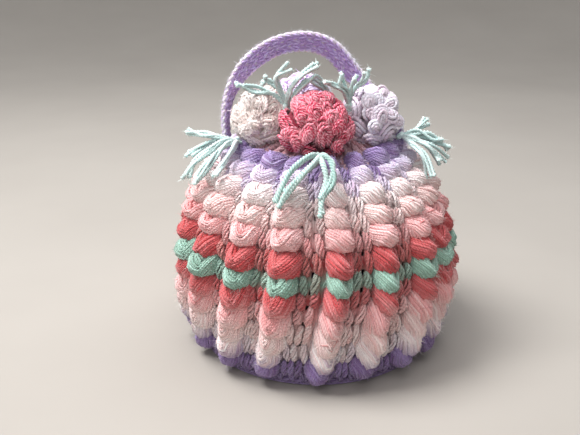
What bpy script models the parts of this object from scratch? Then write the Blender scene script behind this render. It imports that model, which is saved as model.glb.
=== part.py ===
"""Crocheted tea cosy: a hollow, ribbed yarn cover for a teapot, standing on its hem.

Metres, +Z up. The origin is the middle of the hem at its foot. The spout slit faces -X, the
handle slit +X and the front -Y. Azimuths are degrees anticlockwise from +X, seen from above.
"""

import bisect
import math

import bmesh
import bpy
from mathutils import Vector

MM = 0.001
GAP = 0.3 * MM  # clearance between pieces that touch

# Body: columns of puff stitches on a plain crocheted cloth.
RIBS = 18
PITCH = 360 / RIBS  # degrees between ribs
CLOTH = 3.5 * MM  # thickness of the plain cloth
FOOT_HEIGHT = 1.5 * MM  # where the ribs end, above the hem's foot
# Around one rib: share of its half width, and share of its depth.
RIB_SECTION = ((-1.0, 0.0), (-0.6, 0.82), (0.6, 0.82), (1.0, 0.0))

# One row of the table is one round of puffs, from the hem up. Sizes in millimetres, lean in degrees.
#   height and radius of the cloth's outer face, depth of the puffs, share of the pitch that
#   half a puff covers, crease above it, lean of the ribs
PROFILE = (
    ("hem", 0.0, 75.5, 0.0, 0.26, 0.0, -9.5),
    ("purple", 10.4, 76.3, 10.5, 0.26, 1.2, -8.7),
    ("cream", 23.3, 78.7, 11.5, 0.27, 1.2, -6.8),
    ("peach", 36.5, 80.1, 12.0, 0.27, 1.4, -4.6),
    ("pink", 50.2, 81.6, 12.0, 0.27, 1.6, -2.8),
    ("coral", 60.3, 82.5, 12.0, 0.27, 2.0, -1.3),
    ("mint", 70.3, 82.1, 12.0, 0.27, 2.4, 0.0),
    ("coral", 81.3, 79.4, 12.0, 0.27, 2.6, 0.5),
    ("pink", 92.5, 75.9, 12.0, 0.28, 2.8, 1.0),
    ("peach", 102.0, 71.1, 12.0, 0.29, 2.8, 1.0),
    ("cream", 111.1, 65.8, 11.5, 0.30, 2.8, 1.0),
    ("lilac", 118.3, 60.2, 11.0, 0.31, 2.8, 1.0),
    ("purple", 124.3, 53.0, 10.0, 0.32, 0.0, 0.0),
    ("crown", 131.0, 43.5, 0.0, 0.32, 0.0, 0.0),
    ("crown", 135.8, 32.0, 0.0, 0.32, 0.0, 0.0),
    ("crown", 139.4, 18.0, 0.0, 0.32, 0.0, 0.0),
    ("crown", 141.0, 6.0, 0.0, 0.32, 0.0, 0.0),
)
HEIGHT, RADIUS, DEPTH, SPREAD, CREASE, LEAN = range(1, 7)
CREASE_SHOWN = 2.4  # a shallower crease is left to the visual model
CROWN_TOP = 141.3 * MM

# Slits: azimuth, lowest and highest point, and widest opening, in millimetres.
SLITS = {"spout": (180.0, 34.0, 88.0, 30.0), "handle": (0.0, 34.0, 108.0, 22.0)}
SLIT_SIDE_POINTS = 9

# Carrying strap, behind the side flowers: points of its middle line in millimetres, in a plane
# across the cosy, and how far its flat side is turned up towards the front, in degrees.
STRAP_WIDTH = 12.0 * MM
STRAP_THICKNESS = 4.0 * MM
STRAP_BACK = 5.0 * MM
STRAP_LINE = (
    (-56.0, 131.0, 25.0),
    (-57.5, 145.5, 30.0),
    (-56.0, 159.0, 38.0),
    (-51.0, 171.5, 50.0),
    (-42.0, 184.0, 62.0),
    (-28.5, 193.6, 70.0),
    (-15.0, 197.4, 74.0),
    (-1.5, 197.4, 74.0),
    (11.0, 190.6, 70.0),
    (22.0, 178.2, 62.0),
    (32.5, 165.8, 52.0),
    (43.5, 154.0, 42.0),
    (52.0, 143.5, 34.0),
    (56.5, 130.0, 28.0),
)

# Flowers: azimuth, distance out, height of the middle, half width, half height up the slope,
# half thickness, petals and tilt outwards. Millimetres and degrees.
FLOWERS = {
    "flower_crimson": (-97.7, 29.0, 151.5, 24.5, 21.5, 18.0, 7, 40.0),
    "flower_peach": (178.0, 33.0, 149.5, 20.5, 20.0, 17.0, 6, 34.0),
    "flower_white_lilac": (-9.0, 34.5, 149.5, 21.0, 20.0, 17.0, 6, 34.0),
    "flower_lavender": (101.0, 31.5, 152.0, 22.0, 20.0, 17.0, 7, 36.0),
}
PETAL_LIFT = 0.075  # share by which a petal stands out of the flower's round form
FLOWER_SIDES = 22
FLOWER_RINGS = 8

# Leaves: sprigs of cut yarn. Each strand is points of azimuth, distance out and height, in
# degrees and millimetres, from its root outwards.
STRAND_RADIUS = 1.5 * MM
STRAND_SIDES = 5
STRAND_STEPS = 2
KNOT_RADIUS = 3.4 * MM
LEAVES = {
    "leaf_left": (
        (192.0, 52.3, 138.8),
        ((196.0, 62.0, 139.5), (196.0, 72.0, 134.0), (195.0, 81.0, 126.5), (194.0, 86.5, 118.0)),
        ((200.0, 61.0, 139.0), (203.0, 71.0, 133.0), (204.0, 80.0, 125.0), (203.0, 85.0, 117.0)),
        ((205.0, 60.0, 138.5), (211.0, 70.0, 131.5), (212.0, 78.0, 124.0)),
        ((192.0, 63.0, 141.5), (189.0, 73.0, 143.0), (186.0, 82.5, 144.5)),
    ),
    "leaf_front": (
        (-96.0, 50.2, 138.2),
        ((-101.0, 60.0, 140.0), (-110.0, 68.0, 135.0), (-113.5, 74.0, 127.0), (-116.5, 79.0, 118.5)),
        ((-99.0, 64.0, 136.0), (-106.0, 71.5, 130.5), (-112.0, 76.5, 122.5)),
        ((-88.0, 60.5, 140.0), (-83.0, 69.0, 135.0), (-86.0, 75.5, 127.0), (-92.0, 80.0, 120.5)),
        ((-91.0, 65.0, 137.0), (-90.5, 73.0, 130.0), (-91.0, 80.0, 120.0), (-91.5, 85.5, 109.0)),
    ),
    "leaf_right": (
        (-14.0, 54.5, 140.0),
        ((-10.0, 62.5, 142.5), (-8.0, 70.0, 146.5)),
        ((-12.0, 64.0, 140.0), (-11.0, 75.0, 137.5), (-9.0, 86.0, 131.5)),
        ((-17.0, 63.0, 138.5), (-18.0, 73.0, 134.0), (-17.0, 82.5, 125.5)),
        ((-22.0, 61.5, 138.0), (-27.0, 70.0, 131.5), (-30.0, 77.0, 122.5)),
    ),
    "leaf_back": (
        (101.0, 50.8, 137.8),
        ((92.0, 62.0, 138.5), (88.0, 71.5, 132.0), (85.0, 79.5, 122.5)),
        ((100.0, 63.5, 138.5), (100.0, 73.0, 131.0), (99.0, 80.5, 121.0)),
        ((108.0, 62.0, 138.5), (112.5, 71.5, 132.0), (116.0, 79.0, 123.0)),
    ),
    "leaf_up_left": (
        (-138.0, 28.0, 161.5),
        ((-133.0, 28.5, 170.0), (-120.0, 25.5, 180.0), (-102.0, 21.5, 188.0)),
        ((-146.0, 30.0, 169.5), (-154.0, 34.0, 176.5), (-152.0, 40.0, 177.0)),
        ((-142.0, 31.0, 170.5), (-140.0, 35.5, 179.0), (-128.0, 32.0, 185.0)),
        ((-128.0, 26.0, 169.0), (-112.0, 20.5, 177.5), (-92.0, 17.5, 177.0), (-60.0, 12.0, 168.0)),
        ((-152.0, 31.5, 167.5), (-161.0, 42.0, 171.5), (-164.0, 52.0, 173.0)),
    ),
    "leaf_up_right": (
        (-50.0, 27.0, 161.5),
        ((-54.0, 27.0, 170.0), (-62.0, 25.5, 177.0), (-60.0, 28.5, 183.5)),
        ((-46.0, 28.5, 170.0), (-41.0, 31.5, 176.5), (-45.0, 34.0, 183.0)),
        ((-58.0, 27.5, 168.5), (-72.0, 25.0, 174.5), (-84.0, 25.5, 178.5)),
    ),
}

YARN_COLOURS = {
    "cosy_body": (0.84, 0.60, 0.58, 1.0),
    "strap": (0.42, 0.28, 0.62, 1.0),
    "flower_crimson": (0.72, 0.13, 0.20, 1.0),
    "flower_peach": (0.86, 0.68, 0.62, 1.0),
    "flower_white_lilac": (0.76, 0.71, 0.80, 1.0),
    "flower_lavender": (0.58, 0.48, 0.76, 1.0),
    "leaf": (0.56, 0.82, 0.74, 1.0),
}
YARN_ROUGHNESS = 0.95


def clear_scene():
    for old in list(bpy.data.objects):
        bpy.data.objects.remove(old)


def yarn(name):
    """A dull yarn material in the piece's colour."""
    colour = YARN_COLOURS[name]
    material = bpy.data.materials.new(f"yarn_{name}")
    material.use_nodes = True
    shader = material.node_tree.nodes["Principled BSDF"]
    shader.inputs["Base Color"].default_value = colour
    shader.inputs["Roughness"].default_value = YARN_ROUGHNESS
    shader.inputs["Metallic"].default_value = 0.0
    material.diffuse_color = colour
    return material


def add_object(name, bm, material=None):
    """Turns a bmesh into an object of the scene."""
    bmesh.ops.recalc_face_normals(bm, faces=bm.faces)
    mesh = bpy.data.meshes.new(name)
    bm.to_mesh(mesh)
    bm.free()
    made = bpy.data.objects.new(name, mesh)
    bpy.context.scene.collection.objects.link(made)
    if material:
        mesh.materials.append(material)
        mesh.shade_smooth()
        mesh.set_sharp_from_angle(angle=math.radians(50))
    return made


def add_cutter(name, bm):
    """A helper that a Boolean cuts away; it isn't part of the cosy."""
    cutter = add_object(name, bm)
    cutter.hide_render = True
    cutter.display_type = "WIRE"
    return cutter


def grown_cutter(name, bm, by=GAP):
    """A cutter that stands out all round from the form by a distance."""
    bmesh.ops.recalc_face_normals(bm, faces=bm.faces)
    bm.normal_update()
    moves = [corner.normal * corner.calc_shell_factor() * by for corner in bm.verts]
    for corner, move in zip(bm.verts, moves):
        corner.co += move
    return add_cutter(name, bm)


def boolean(target, other, operation):
    modifier = target.modifiers.new(f"{operation}_{other.name}".lower(), "BOOLEAN")
    modifier.operation = operation
    modifier.solver = "EXACT"
    modifier.object = other


def polar(azimuth, out, height):
    """A point from degrees and millimetres."""
    turn = math.radians(azimuth)
    return Vector((out * math.cos(turn), out * math.sin(turn), height)) * MM


def between(table, key, columns):
    """The named columns of a table at a place between two of its rows, by straight lines."""
    places = [row[0] for row in table]
    upper = min(max(bisect.bisect_right(places, key), 1), len(table) - 1)
    low, high = table[upper - 1], table[upper]
    share = min(max((key - low[0]) / (high[0] - low[0]), 0.0), 1.0)
    return [low[c] + (high[c] - low[c]) * share for c in columns]


def slit_opening(slit, height):
    """Half the width of a slit at a height, in millimetres."""
    _, low, high, width = SLITS[slit]
    if not low < height < high:
        return 0.0
    return width / 2 * math.sin(math.pi * (height - low) / (high - low))


def pushed_aside(azimuth, height, radius):
    """The azimuth of a point of the cloth once the open slits have pushed it aside."""
    for slit, (centre, *_) in SLITS.items():
        off = (azimuth - centre + 180) % 360 - 180
        most = math.degrees(slit_opening(slit, height) / radius) * 0.6
        reach = PITCH / 2
        azimuth += most * off / reach * math.exp(1 - abs(off) / reach)
    return azimuth


def surface_rings():
    """The rings of the body's outer face: height, radius, outward slope, depth, spread, lean."""
    rings = []
    for i, row in enumerate(PROFILE):
        below, above = PROFILE[max(i - 1, 0)], PROFILE[min(i + 1, len(PROFILE) - 1)]
        up, out = above[HEIGHT] - below[HEIGHT], above[RADIUS] - below[RADIUS]
        slope = math.atan2(-out, up) if i else 0.0
        if i == 1:
            foot_depth = row[DEPTH] * 0.7
            rings.append((FOOT_HEIGHT / MM, below[RADIUS], 0.0, foot_depth, row[SPREAD], below[LEAN]))
        rings.append((row[HEIGHT], row[RADIUS], slope, row[DEPTH], row[SPREAD], row[LEAN]))
        if above[DEPTH] and row[CREASE] >= CREASE_SHOWN:
            middle = [(row[c] + above[c]) / 2 for c in (HEIGHT, RADIUS, DEPTH, SPREAD, LEAN)]
            turn = math.atan2(-(above[RADIUS] - row[RADIUS]), above[HEIGHT] - row[HEIGHT])
            rings.append((middle[0], middle[1], turn, middle[2] - row[CREASE], *middle[3:]))
    return rings


def body_outside():
    """The body's outer form as a closed solid."""
    bm = bmesh.new()
    rings = []
    for height, radius, slope, depth, spread, lean in surface_rings():
        ring = []
        for rib in range(RIBS):
            for share, lift in RIB_SECTION:
                azimuth = (rib + 0.5 + share * spread) * PITCH
                azimuth = pushed_aside(azimuth, height, radius) + lean
                stands = depth * lift
                ring.append(
                    bm.verts.new(
                        polar(azimuth, radius + stands * math.cos(slope), height + stands * math.sin(slope))
                    )
                )
        rings.append(ring)
    for low, high in zip(rings, rings[1:]):
        for i, corner in enumerate(low):
            after = (i + 1) % len(low)
            bm.faces.new((corner, low[after], high[after], high[i]))
    bm.faces.new(rings[0])
    top = bm.verts.new((0, 0, CROWN_TOP))
    for i, corner in enumerate(rings[-1]):
        bm.faces.new((corner, rings[-1][(i + 1) % len(rings[-1])], top))
    return bm


def cavity():
    """The space for the teapot: the cloth's profile less its thickness, turned about Z."""
    bm = bmesh.new()
    start = (PROFILE[0][RADIUS] * MM - CLOTH, 0, -4 * CLOTH)
    points = [start]
    for i in range(0, len(PROFILE), 2):
        row = PROFILE[i]
        after = PROFILE[min(i + 1, len(PROFILE) - 1)]
        before = PROFILE[max(i - 1, 0)]
        slope = math.atan2(before[RADIUS] - after[RADIUS], after[HEIGHT] - before[HEIGHT]) if i else 0.0
        inwards, down = CLOTH * math.cos(slope), CLOTH * math.sin(slope)
        points.append((row[RADIUS] * MM - inwards, 0, row[HEIGHT] * MM - down))
    points.append((0, 0, CROWN_TOP - CLOTH))
    points.insert(0, (0, 0, start[2]))
    line = [bm.verts.new(point) for point in points]
    edges = [bm.edges.new(pair) for pair in zip(line, line[1:])]
    bmesh.ops.spin(bm, geom=line + edges, cent=(0, 0, 0), axis=(0, 0, 1), angle=math.tau, steps=2 * RIBS)
    bmesh.ops.remove_doubles(bm, verts=bm.verts, dist=0.01 * MM)
    return bm


def slit_cutter(slit):
    """A lens-shaped bar through the wall, leaning with the ribs."""
    azimuth, low, high, _ = SLITS[slit]
    side = 1 if abs(azimuth) < 90 else -1
    heights = [low + (high - low) * i / (SLIT_SIDE_POINTS - 1) for i in range(SLIT_SIDE_POINTS)]
    table = [row[1:] for row in PROFILE]
    outline = []
    for sign, run in ((1, heights[:-1]), (-1, heights[:0:-1])):
        for height in run:
            radius, lean = between(table, height, (RADIUS - 1, LEAN - 1))
            middle = side * radius * math.sin(math.radians(lean))
            outline.append((middle + sign * slit_opening(slit, height), height))
    bm = bmesh.new()
    inner = [bm.verts.new(Vector((side * 55.0, y, z)) * MM) for y, z in outline]
    face = bm.faces.new(inner)
    moved = bmesh.ops.extrude_face_region(bm, geom=[face])["geom"]
    corners = [part for part in moved if isinstance(part, bmesh.types.BMVert)]
    bmesh.ops.translate(bm, vec=(side * 55.0 * MM, 0, 0), verts=corners)
    return bm


def make_body():
    body = add_object("cosy_body", body_outside(), yarn("cosy_body"))
    boolean(body, add_cutter("cut_cavity", cavity()), "DIFFERENCE")
    for slit in SLITS:
        boolean(body, add_cutter(f"cut_{slit}_slit", slit_cutter(slit)), "DIFFERENCE")
    return body


def smooth_line(points, steps):
    """Points on one smooth curve through the given ones (Catmull-Rom)."""
    ends = [2 * points[0] - points[1], *points, 2 * points[-1] - points[-2]]
    line = []
    for a, b, c, d in zip(ends, ends[1:], ends[2:], ends[3:]):
        for i in range(steps):
            t = i / steps
            curve = (2 * a - 5 * b + 4 * c - d) * t**2 + (3 * (b - c) + d - a) * t**3
            line.append(0.5 * (2 * b + (c - a) * t + curve))
    return [*line, points[-1].copy()]


def strap_form():
    """A flat band along the arch, ending on the crown at both feet."""
    knots = [Vector((x, z, turn)) for x, z, turn in STRAP_LINE]
    line = smooth_line(knots, 2)
    bm = bmesh.new()
    rings = []
    for i, (x, z, turn) in enumerate(line):
        before, after = line[max(i - 1, 0)], line[min(i + 1, len(line) - 1)]
        along = Vector((after[0] - before[0], 0, after[1] - before[1])).normalized()
        outwards = along.cross(Vector((0, 1, 0))) * -1
        angle = math.radians(turn)
        across = Vector((0, -math.cos(angle), 0)) - outwards * math.sin(angle)
        through = along.cross(across)
        ring = []
        for corner in range(8):
            round_by = math.tau * (corner + 0.5) / 8
            flat = math.copysign(abs(math.cos(round_by)) ** 0.5, math.cos(round_by))
            side = across * flat * STRAP_WIDTH / 2
            rise = through * math.sin(round_by) * STRAP_THICKNESS / 2
            ring.append(bm.verts.new(Vector((x, STRAP_BACK / MM, z)) * MM + side + rise))
        rings.append(ring)
    for low, high in zip(rings, rings[1:]):
        for i, corner in enumerate(low):
            after = (i + 1) % len(low)
            bm.faces.new((corner, low[after], high[after], high[i]))
    bm.faces.new(rings[0])
    bm.faces.new(rings[-1])
    return bm


def flower_form(name):
    """A plump rosette: a flattened ball whose petals stand out round its rim."""
    azimuth, out, height, wide, tall, thick, petals, tilt = FLOWERS[name]
    bm = bmesh.new()
    bmesh.ops.create_uvsphere(bm, u_segments=FLOWER_SIDES, v_segments=FLOWER_RINGS, radius=1.0)
    outwards = polar(azimuth, 1, 0).normalized()
    sideways = Vector((0, 0, 1)).cross(outwards)
    lean = math.radians(tilt)
    facing = outwards * math.sin(lean) + Vector((0, 0, math.cos(lean)))
    slope = facing.cross(sideways)
    middle = polar(azimuth, out, height)
    for corner in bm.verts:
        x, y, z = corner.co
        petal = 1 + PETAL_LIFT * math.cos(petals * math.atan2(y, x)) * math.hypot(x, y)
        place = sideways * x * wide * petal + slope * y * tall * petal + facing * z * thick
        corner.co = middle + place * MM
    return bm


def strand_tube(bm, points, radius):
    """A length of yarn along its points, closed at both ends."""
    line = smooth_line(points, STRAND_STEPS)
    rings = []
    for i, point in enumerate(line):
        along = (line[min(i + 1, len(line) - 1)] - line[max(i - 1, 0)]).normalized()
        across = along.cross(Vector((0, 0, 1))).normalized()
        through = along.cross(across)
        turns = [math.tau * corner / STRAND_SIDES for corner in range(STRAND_SIDES)]
        rings.append(
            [
                bm.verts.new(point + (across * math.cos(t) + through * math.sin(t)) * radius)
                for t in turns
            ]
        )
    for low, high in zip(rings, rings[1:]):
        for i, corner in enumerate(low):
            after = (i + 1) % len(low)
            bm.faces.new((corner, low[after], high[after], high[i]))
    bm.faces.new(rings[0])
    bm.faces.new(rings[-1])


def make_leaf(name, cutter=False):
    """A sprig: strands of yarn joined in one knot at the root. Its cutter is a gap larger."""
    root, *strands = LEAVES[name]
    larger = 2 * GAP if cutter else 0.0
    own_name = f"cut_{name}" if cutter else name
    knot = bmesh.new()
    bmesh.ops.create_icosphere(knot, subdivisions=2, radius=KNOT_RADIUS + larger)
    bmesh.ops.translate(knot, vec=polar(*root), verts=knot.verts)
    leaf = add_cutter(own_name, knot) if cutter else add_object(own_name, knot, yarn("leaf"))
    for number, strand in enumerate(strands):
        bm = bmesh.new()
        strand_tube(bm, [polar(*root), *(polar(*point) for point in strand)], STRAND_RADIUS + larger)
        boolean(leaf, add_cutter(f"{own_name}_strand_{number}", bm), "UNION")
    return leaf


def press(pieces, cutter):
    """Presses the pieces against what the cutter stands for."""
    for piece in pieces:
        boolean(piece, cutter, "DIFFERENCE")


def main():
    clear_scene()
    make_body()
    strap = add_object("strap", strap_form(), yarn("strap"))
    flowers = {name: add_object(name, flower_form(name), yarn(name)) for name in FLOWERS}
    leaves = [make_leaf(name) for name in LEAVES]
    press([strap, *flowers.values(), *leaves], grown_cutter("cut_body", body_outside(), 2 * GAP))
    press(flowers.values(), grown_cutter("cut_strap", strap_form()))
    for name in LEAVES:
        press(flowers.values(), make_leaf(name, cutter=True))
    order = list(FLOWERS)
    for i, name in enumerate(order[:-1]):
        cutter = grown_cutter(f"cut_{name}", flower_form(name))
        press([flowers[other] for other in order[i + 1:]], cutter)


main()
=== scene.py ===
"""Crocheted tea cosy: ribs of puff stitches with plain stitches between them, a hem, a gathered crown, a
carrying strap, yarn flowers and sprigs of yarn leaves. Working sizes are in millimetres, meshes in metres."""

import math
from collections import namedtuple

import bpy
import numpy as np
from bpy.props import FloatProperty, FloatVectorProperty, IntProperty, PointerProperty
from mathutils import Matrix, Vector


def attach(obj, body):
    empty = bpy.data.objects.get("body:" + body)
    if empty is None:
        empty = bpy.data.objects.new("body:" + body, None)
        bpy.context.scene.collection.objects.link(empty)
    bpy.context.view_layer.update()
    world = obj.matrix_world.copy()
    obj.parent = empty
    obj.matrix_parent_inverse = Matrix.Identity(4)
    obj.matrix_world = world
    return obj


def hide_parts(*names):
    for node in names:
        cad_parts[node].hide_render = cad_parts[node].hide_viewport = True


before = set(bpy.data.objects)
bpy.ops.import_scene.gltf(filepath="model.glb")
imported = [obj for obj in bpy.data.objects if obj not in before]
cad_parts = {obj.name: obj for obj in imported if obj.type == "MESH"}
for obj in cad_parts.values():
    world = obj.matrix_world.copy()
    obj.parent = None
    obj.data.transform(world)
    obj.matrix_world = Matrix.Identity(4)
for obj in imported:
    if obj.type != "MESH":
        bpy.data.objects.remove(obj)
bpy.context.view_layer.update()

bl_info = {
    "name": "Crocheted tea cosy",
    "version": (1, 0, 0),
    "blender": (4, 5, 0),
    "location": "View3D > Sidebar > Tea cosy",
    "description": "Crochets a ribbed tea cosy with flowers, leaves and a carrying strap",
    "category": "Object",
}

MM = 0.001
TURN = 2 * math.pi
RIBS = 18
PITCH = 360 / RIBS  # degrees from rib to rib
SEED = 18  # each piece's random draws start from this number and its own

# The cloth's outer face, from the hem up: yarn, height, radius, lean of the ribs in degrees.
YARN, HEIGHT, RADIUS, LEAN = range(4)
PROFILE = (
    ("purple", 0.0, 75.5, -9.5),
    ("purple", 10.4, 76.3, -8.7),
    ("cream", 23.3, 78.7, -6.8),
    ("peach", 36.5, 80.1, -4.6),
    ("pink", 50.2, 81.6, -2.8),
    ("coral", 60.3, 82.5, -1.3),
    ("mint", 70.3, 82.1, 0.0),
    ("coral", 81.3, 79.4, 0.5),
    ("pink", 92.5, 75.9, 1.0),
    ("peach", 102.0, 71.1, 1.0),
    ("cream", 111.1, 65.8, 1.0),
    ("lilac", 118.3, 60.2, 1.0),
    ("purple", 124.3, 53.0, 0.0),
    ("crown", 131.0, 43.5, 0.0),
    ("crown", 135.8, 32.0, 0.0),
    ("crown", 139.4, 18.0, 0.0),
    ("crown", 141.0, 6.0, 0.0),
)
HEIGHTS = [row[HEIGHT] for row in PROFILE]
TOP = HEIGHTS[-1]
# The puffs of each row, from the hem up: yarn, height where they are worked in, half width, half height,
# depth, droop of the front, depth of the dimple, how far right the dimple is, how often a coral strand shows,
# how much the lower edge takes the colour of the row below, and how sharply the strands fold.
PUFFS = (
    ("purple", 14.6, 7.4, 8.0, 10.4, 1.0, 0.03, 0.0, 0.0, 0.0, 0.0),
    ("cream", 27.0, 7.2, 10.6, 12.0, 3.0, 0.06, 0.1, 0.0, 0.75, 0.0),
    ("peach", 39.0, 7.3, 11.0, 12.8, 4.2, 0.08, 0.1, 0.25, 0.7, 0.1),
    ("pink", 51.5, 7.5, 10.4, 13.4, 4.9, 0.1, 0.1, 0.25, 0.7, 0.3),
    ("coral", 63.0, 7.8, 9.0, 13.2, 4.2, 0.14, 0.05, 0.0, 0.55, 0.6),
    ("mint", 73.7, 8.0, 8.2, 13.8, 3.9, 0.34, 0.05, 0.0, 0.0, 0.6),
    ("coral", 84.7, 8.2, 8.8, 13.8, 4.2, 0.28, 0.0, 0.0, 0.0, 0.6),
    ("pink", 96.8, 8.3, 8.4, 14.2, 3.9, 0.34, 0.1, 0.6, 0.0, 0.35),
    ("peach", 107.2, 8.2, 8.0, 13.8, 3.6, 0.34, 0.15, 0.5, 0.2, 0.35),
    ("cream", 116.5, 8.0, 7.6, 13.2, 3.2, 0.32, 0.15, 0.4, 0.2, 0.35),
    ("lilac", 123.8, 7.5, 7.2, 12.2, 2.9, 0.26, 0.15, 0.0, 0.35, 0.35),
    ("purple", 129.2, 6.7, 7.8, 10.8, 2.0, 0.16, 0.1, 0.0, 0.3, 0.35),
)
# How far some ribs stand from their even places, in degrees.
ASKEW = {11: 0.3, 12: -0.4, 13: 2.0, 14: 1.8, 15: 3.2, 16: 2.0}
# How much fuller some ribs are than the rest, from this height up.
FULLER = {10: 1.06, 11: 1.1, 12: 1.16, 13: 0.92, 14: 0.93}
FULLER_FROM = 40
# How much further right the dimples of some ribs are.
DIMPLES = {12: -0.3, 13: 0.3, 14: 0.25, 10: -0.15, 16: -0.2}
DIMPLE_UP = 0.18  # how far above its puff's middle a dimple is
# Slits: azimuth, lowest and highest point, widest opening.
SLITS = {"spout": (180.0, 34.0, 88.0, 30.0), "handle": (0.0, 34.0, 108.0, 22.0)}
SLIT_PUSH = 0.6  # how far a slit moves the cloth beside it, as a share of its opening

# The strap's middle line: x, z and its turn about that line in degrees. All of it is at one y.
STRAP_Y = 5.0
STRAP_LINE = (
    (-56, 131, 10), (-57.5, 145.5, 14), (-56, 159, 24), (-51, 171.5, 42), (-42, 183, 62),
    (-28.5, 192.3, 70), (-15, 196.2, 74), (-1.5, 196.0, 74), (11, 190.2, 70), (22, 178.2, 62),
    (32.5, 165.8, 52), (43.5, 154, 42), (52, 143.5, 34), (56.5, 130, 28),
)

# Flowers: azimuth, distance out, height, half width, half height, half thickness, tilt. Then the way that the
# listed petals face, as azimuth and tilt. Then those petals: place to the right and up, size, and turn from
# straight out in degrees.
FLOWERS = {
    "flower_crimson": (
        (-97.7, 29.0, 151.5, 26.0, 20.5, 18.0, 40.0),
        (-97.7, 24.0),
        (
            (-2.9, 12.5, 5.8, 0), (5.4, 11.9, 4.4, -10), (9.3, 7.3, 4.8, -10), (-11.4, 7.0, 4.8, 0),
            (-1.0, 4.2, 6.4, 25), (-12.4, 0.8, 5.2, 10), (11.5, 1.0, 5.6, -10), (-4.9, -7.6, 8.2, -28),
            (6.8, -8.8, 8.2, 12), (14.6, -4.6, 5.0, 0), (18.0, -10.0, 4.8, 0), (13.0, -14.0, 4.6, 40),
            (-18.0, -8.6, 5.8, 10), (-12.7, -13.2, 5.2, -50),
        ),
    ),
    "flower_peach": (
        (178.0, 33.0, 150.3, 20.5, 20.0, 17.0, 34.0),
        (-125.0, 28.0),
        (
            (-5.1, 6.9, 7.0, 5), (5.7, 9.6, 5.6, -5), (6.0, 4.6, 5.8, 0), (-1.2, 0.6, 5.6, 0),
            (-9.3, -1.8, 5.8, 10), (-10.4, -7.5, 5.2, 20), (-2.9, -7.8, 5.8, 0), (5.2, -4.4, 5.0, 0),
            (4.8, -9.8, 4.6, 80), (-1.2, -12.6, 4.8, 90),
        ),
    ),
    "flower_white_lilac": (
        (-9.0, 34.5, 150.3, 21.0, 20.0, 17.0, 34.0),
        (-72.0, 26.0),
        (
            (7.6, 3.2, 8.4, -38), (-3.6, -3.6, 7.4, -20), (3.6, -4.6, 5.4, -135), (-4.0, 8.2, 5.8, -10),
            (2.4, 10.6, 5.2, -10), (-9.8, 6.2, 5.2, 10), (-10.7, -0.6, 5.6, -10), (9.8, -8.0, 5.2, -110),
            (-8.6, -9.4, 5.0, 0),
        ),
    ),
    "flower_lavender": (
        (101.0, 31.5, 152.5, 22.0, 20.0, 17.0, 36.0),
        (101.0, 24.0),
        (
            (0.0, 8.0, 6.6, 0), (-9.0, 4.0, 6.2, 0), (9.0, 4.0, 6.2, 0), (-5.0, -5.0, 6.8, 0),
            (6.5, -6.0, 6.6, 0),
        ),
    ),
}
# How each flower is worked: thickness of its yarn, how much bigger its petals are than listed, fibres that
# stand up from each petal and as many again that lie on it, how much narrower it is at the top, and its kind
# of yarn.
PETALS = {
    "flower_crimson": (2.0, 1.08, 40, 0.5, "plied"),
    "flower_peach": (2.2, 1.1, 200, 0.1, "fluffy"),
    "flower_white_lilac": (2.3, 1.05, 40, 0.1, "soft"),
    "flower_lavender": (2.2, 1.1, 60, 0.1, "fluffy"),
}
# How each kind of yarn works up. For a petal: distance from the next, width and length, how far its feet are
# drawn in, how uneven its strands are and how many sides they have, size of the ball under them and the share
# of colour that paints it in shade, and width of its fibres. For the flower: size of its core and the share
# of colour that paints it in shade.
Kind = namedtuple("Kind", "spacing width length drawn_in uneven sides ball ball_shade fibre core core_shade")
KINDS = {
    "plied": Kind(0.78, 0.87, 1.14, 0.62, 0.08, 5, 0.95, 0.5, 0.16, 0.72, 0.4),
    "soft": Kind(0.7, 1.0, 1.0, 0.62, 0.08, 5, 0.95, 0.8, 0.16, 0.72, 0.75),
    "fluffy": Kind(0.66, 1.0, 1.0, 0.3, 0.3, 4, 1.15, 0.95, 0.32, 0.88, 0.9),
}

FULL_SPRIGS = ("leaf_left", "leaf_right", "leaf_up_left")  # three yarns to each strand, not two
# How sprigs differ: their colour as shares of the leaves' one, the front sprig's darker share being painted
# shade on the same yarn, how much plumper their yarn is, and how far it strays from the listed points.
SPRIG_LOOKS = {"leaf_front": ((0.58, 0.70, 0.67), 1.2, 0.6), "others": ((0.95, 1.0, 1.0), 1.0, 1.1)}
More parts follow.
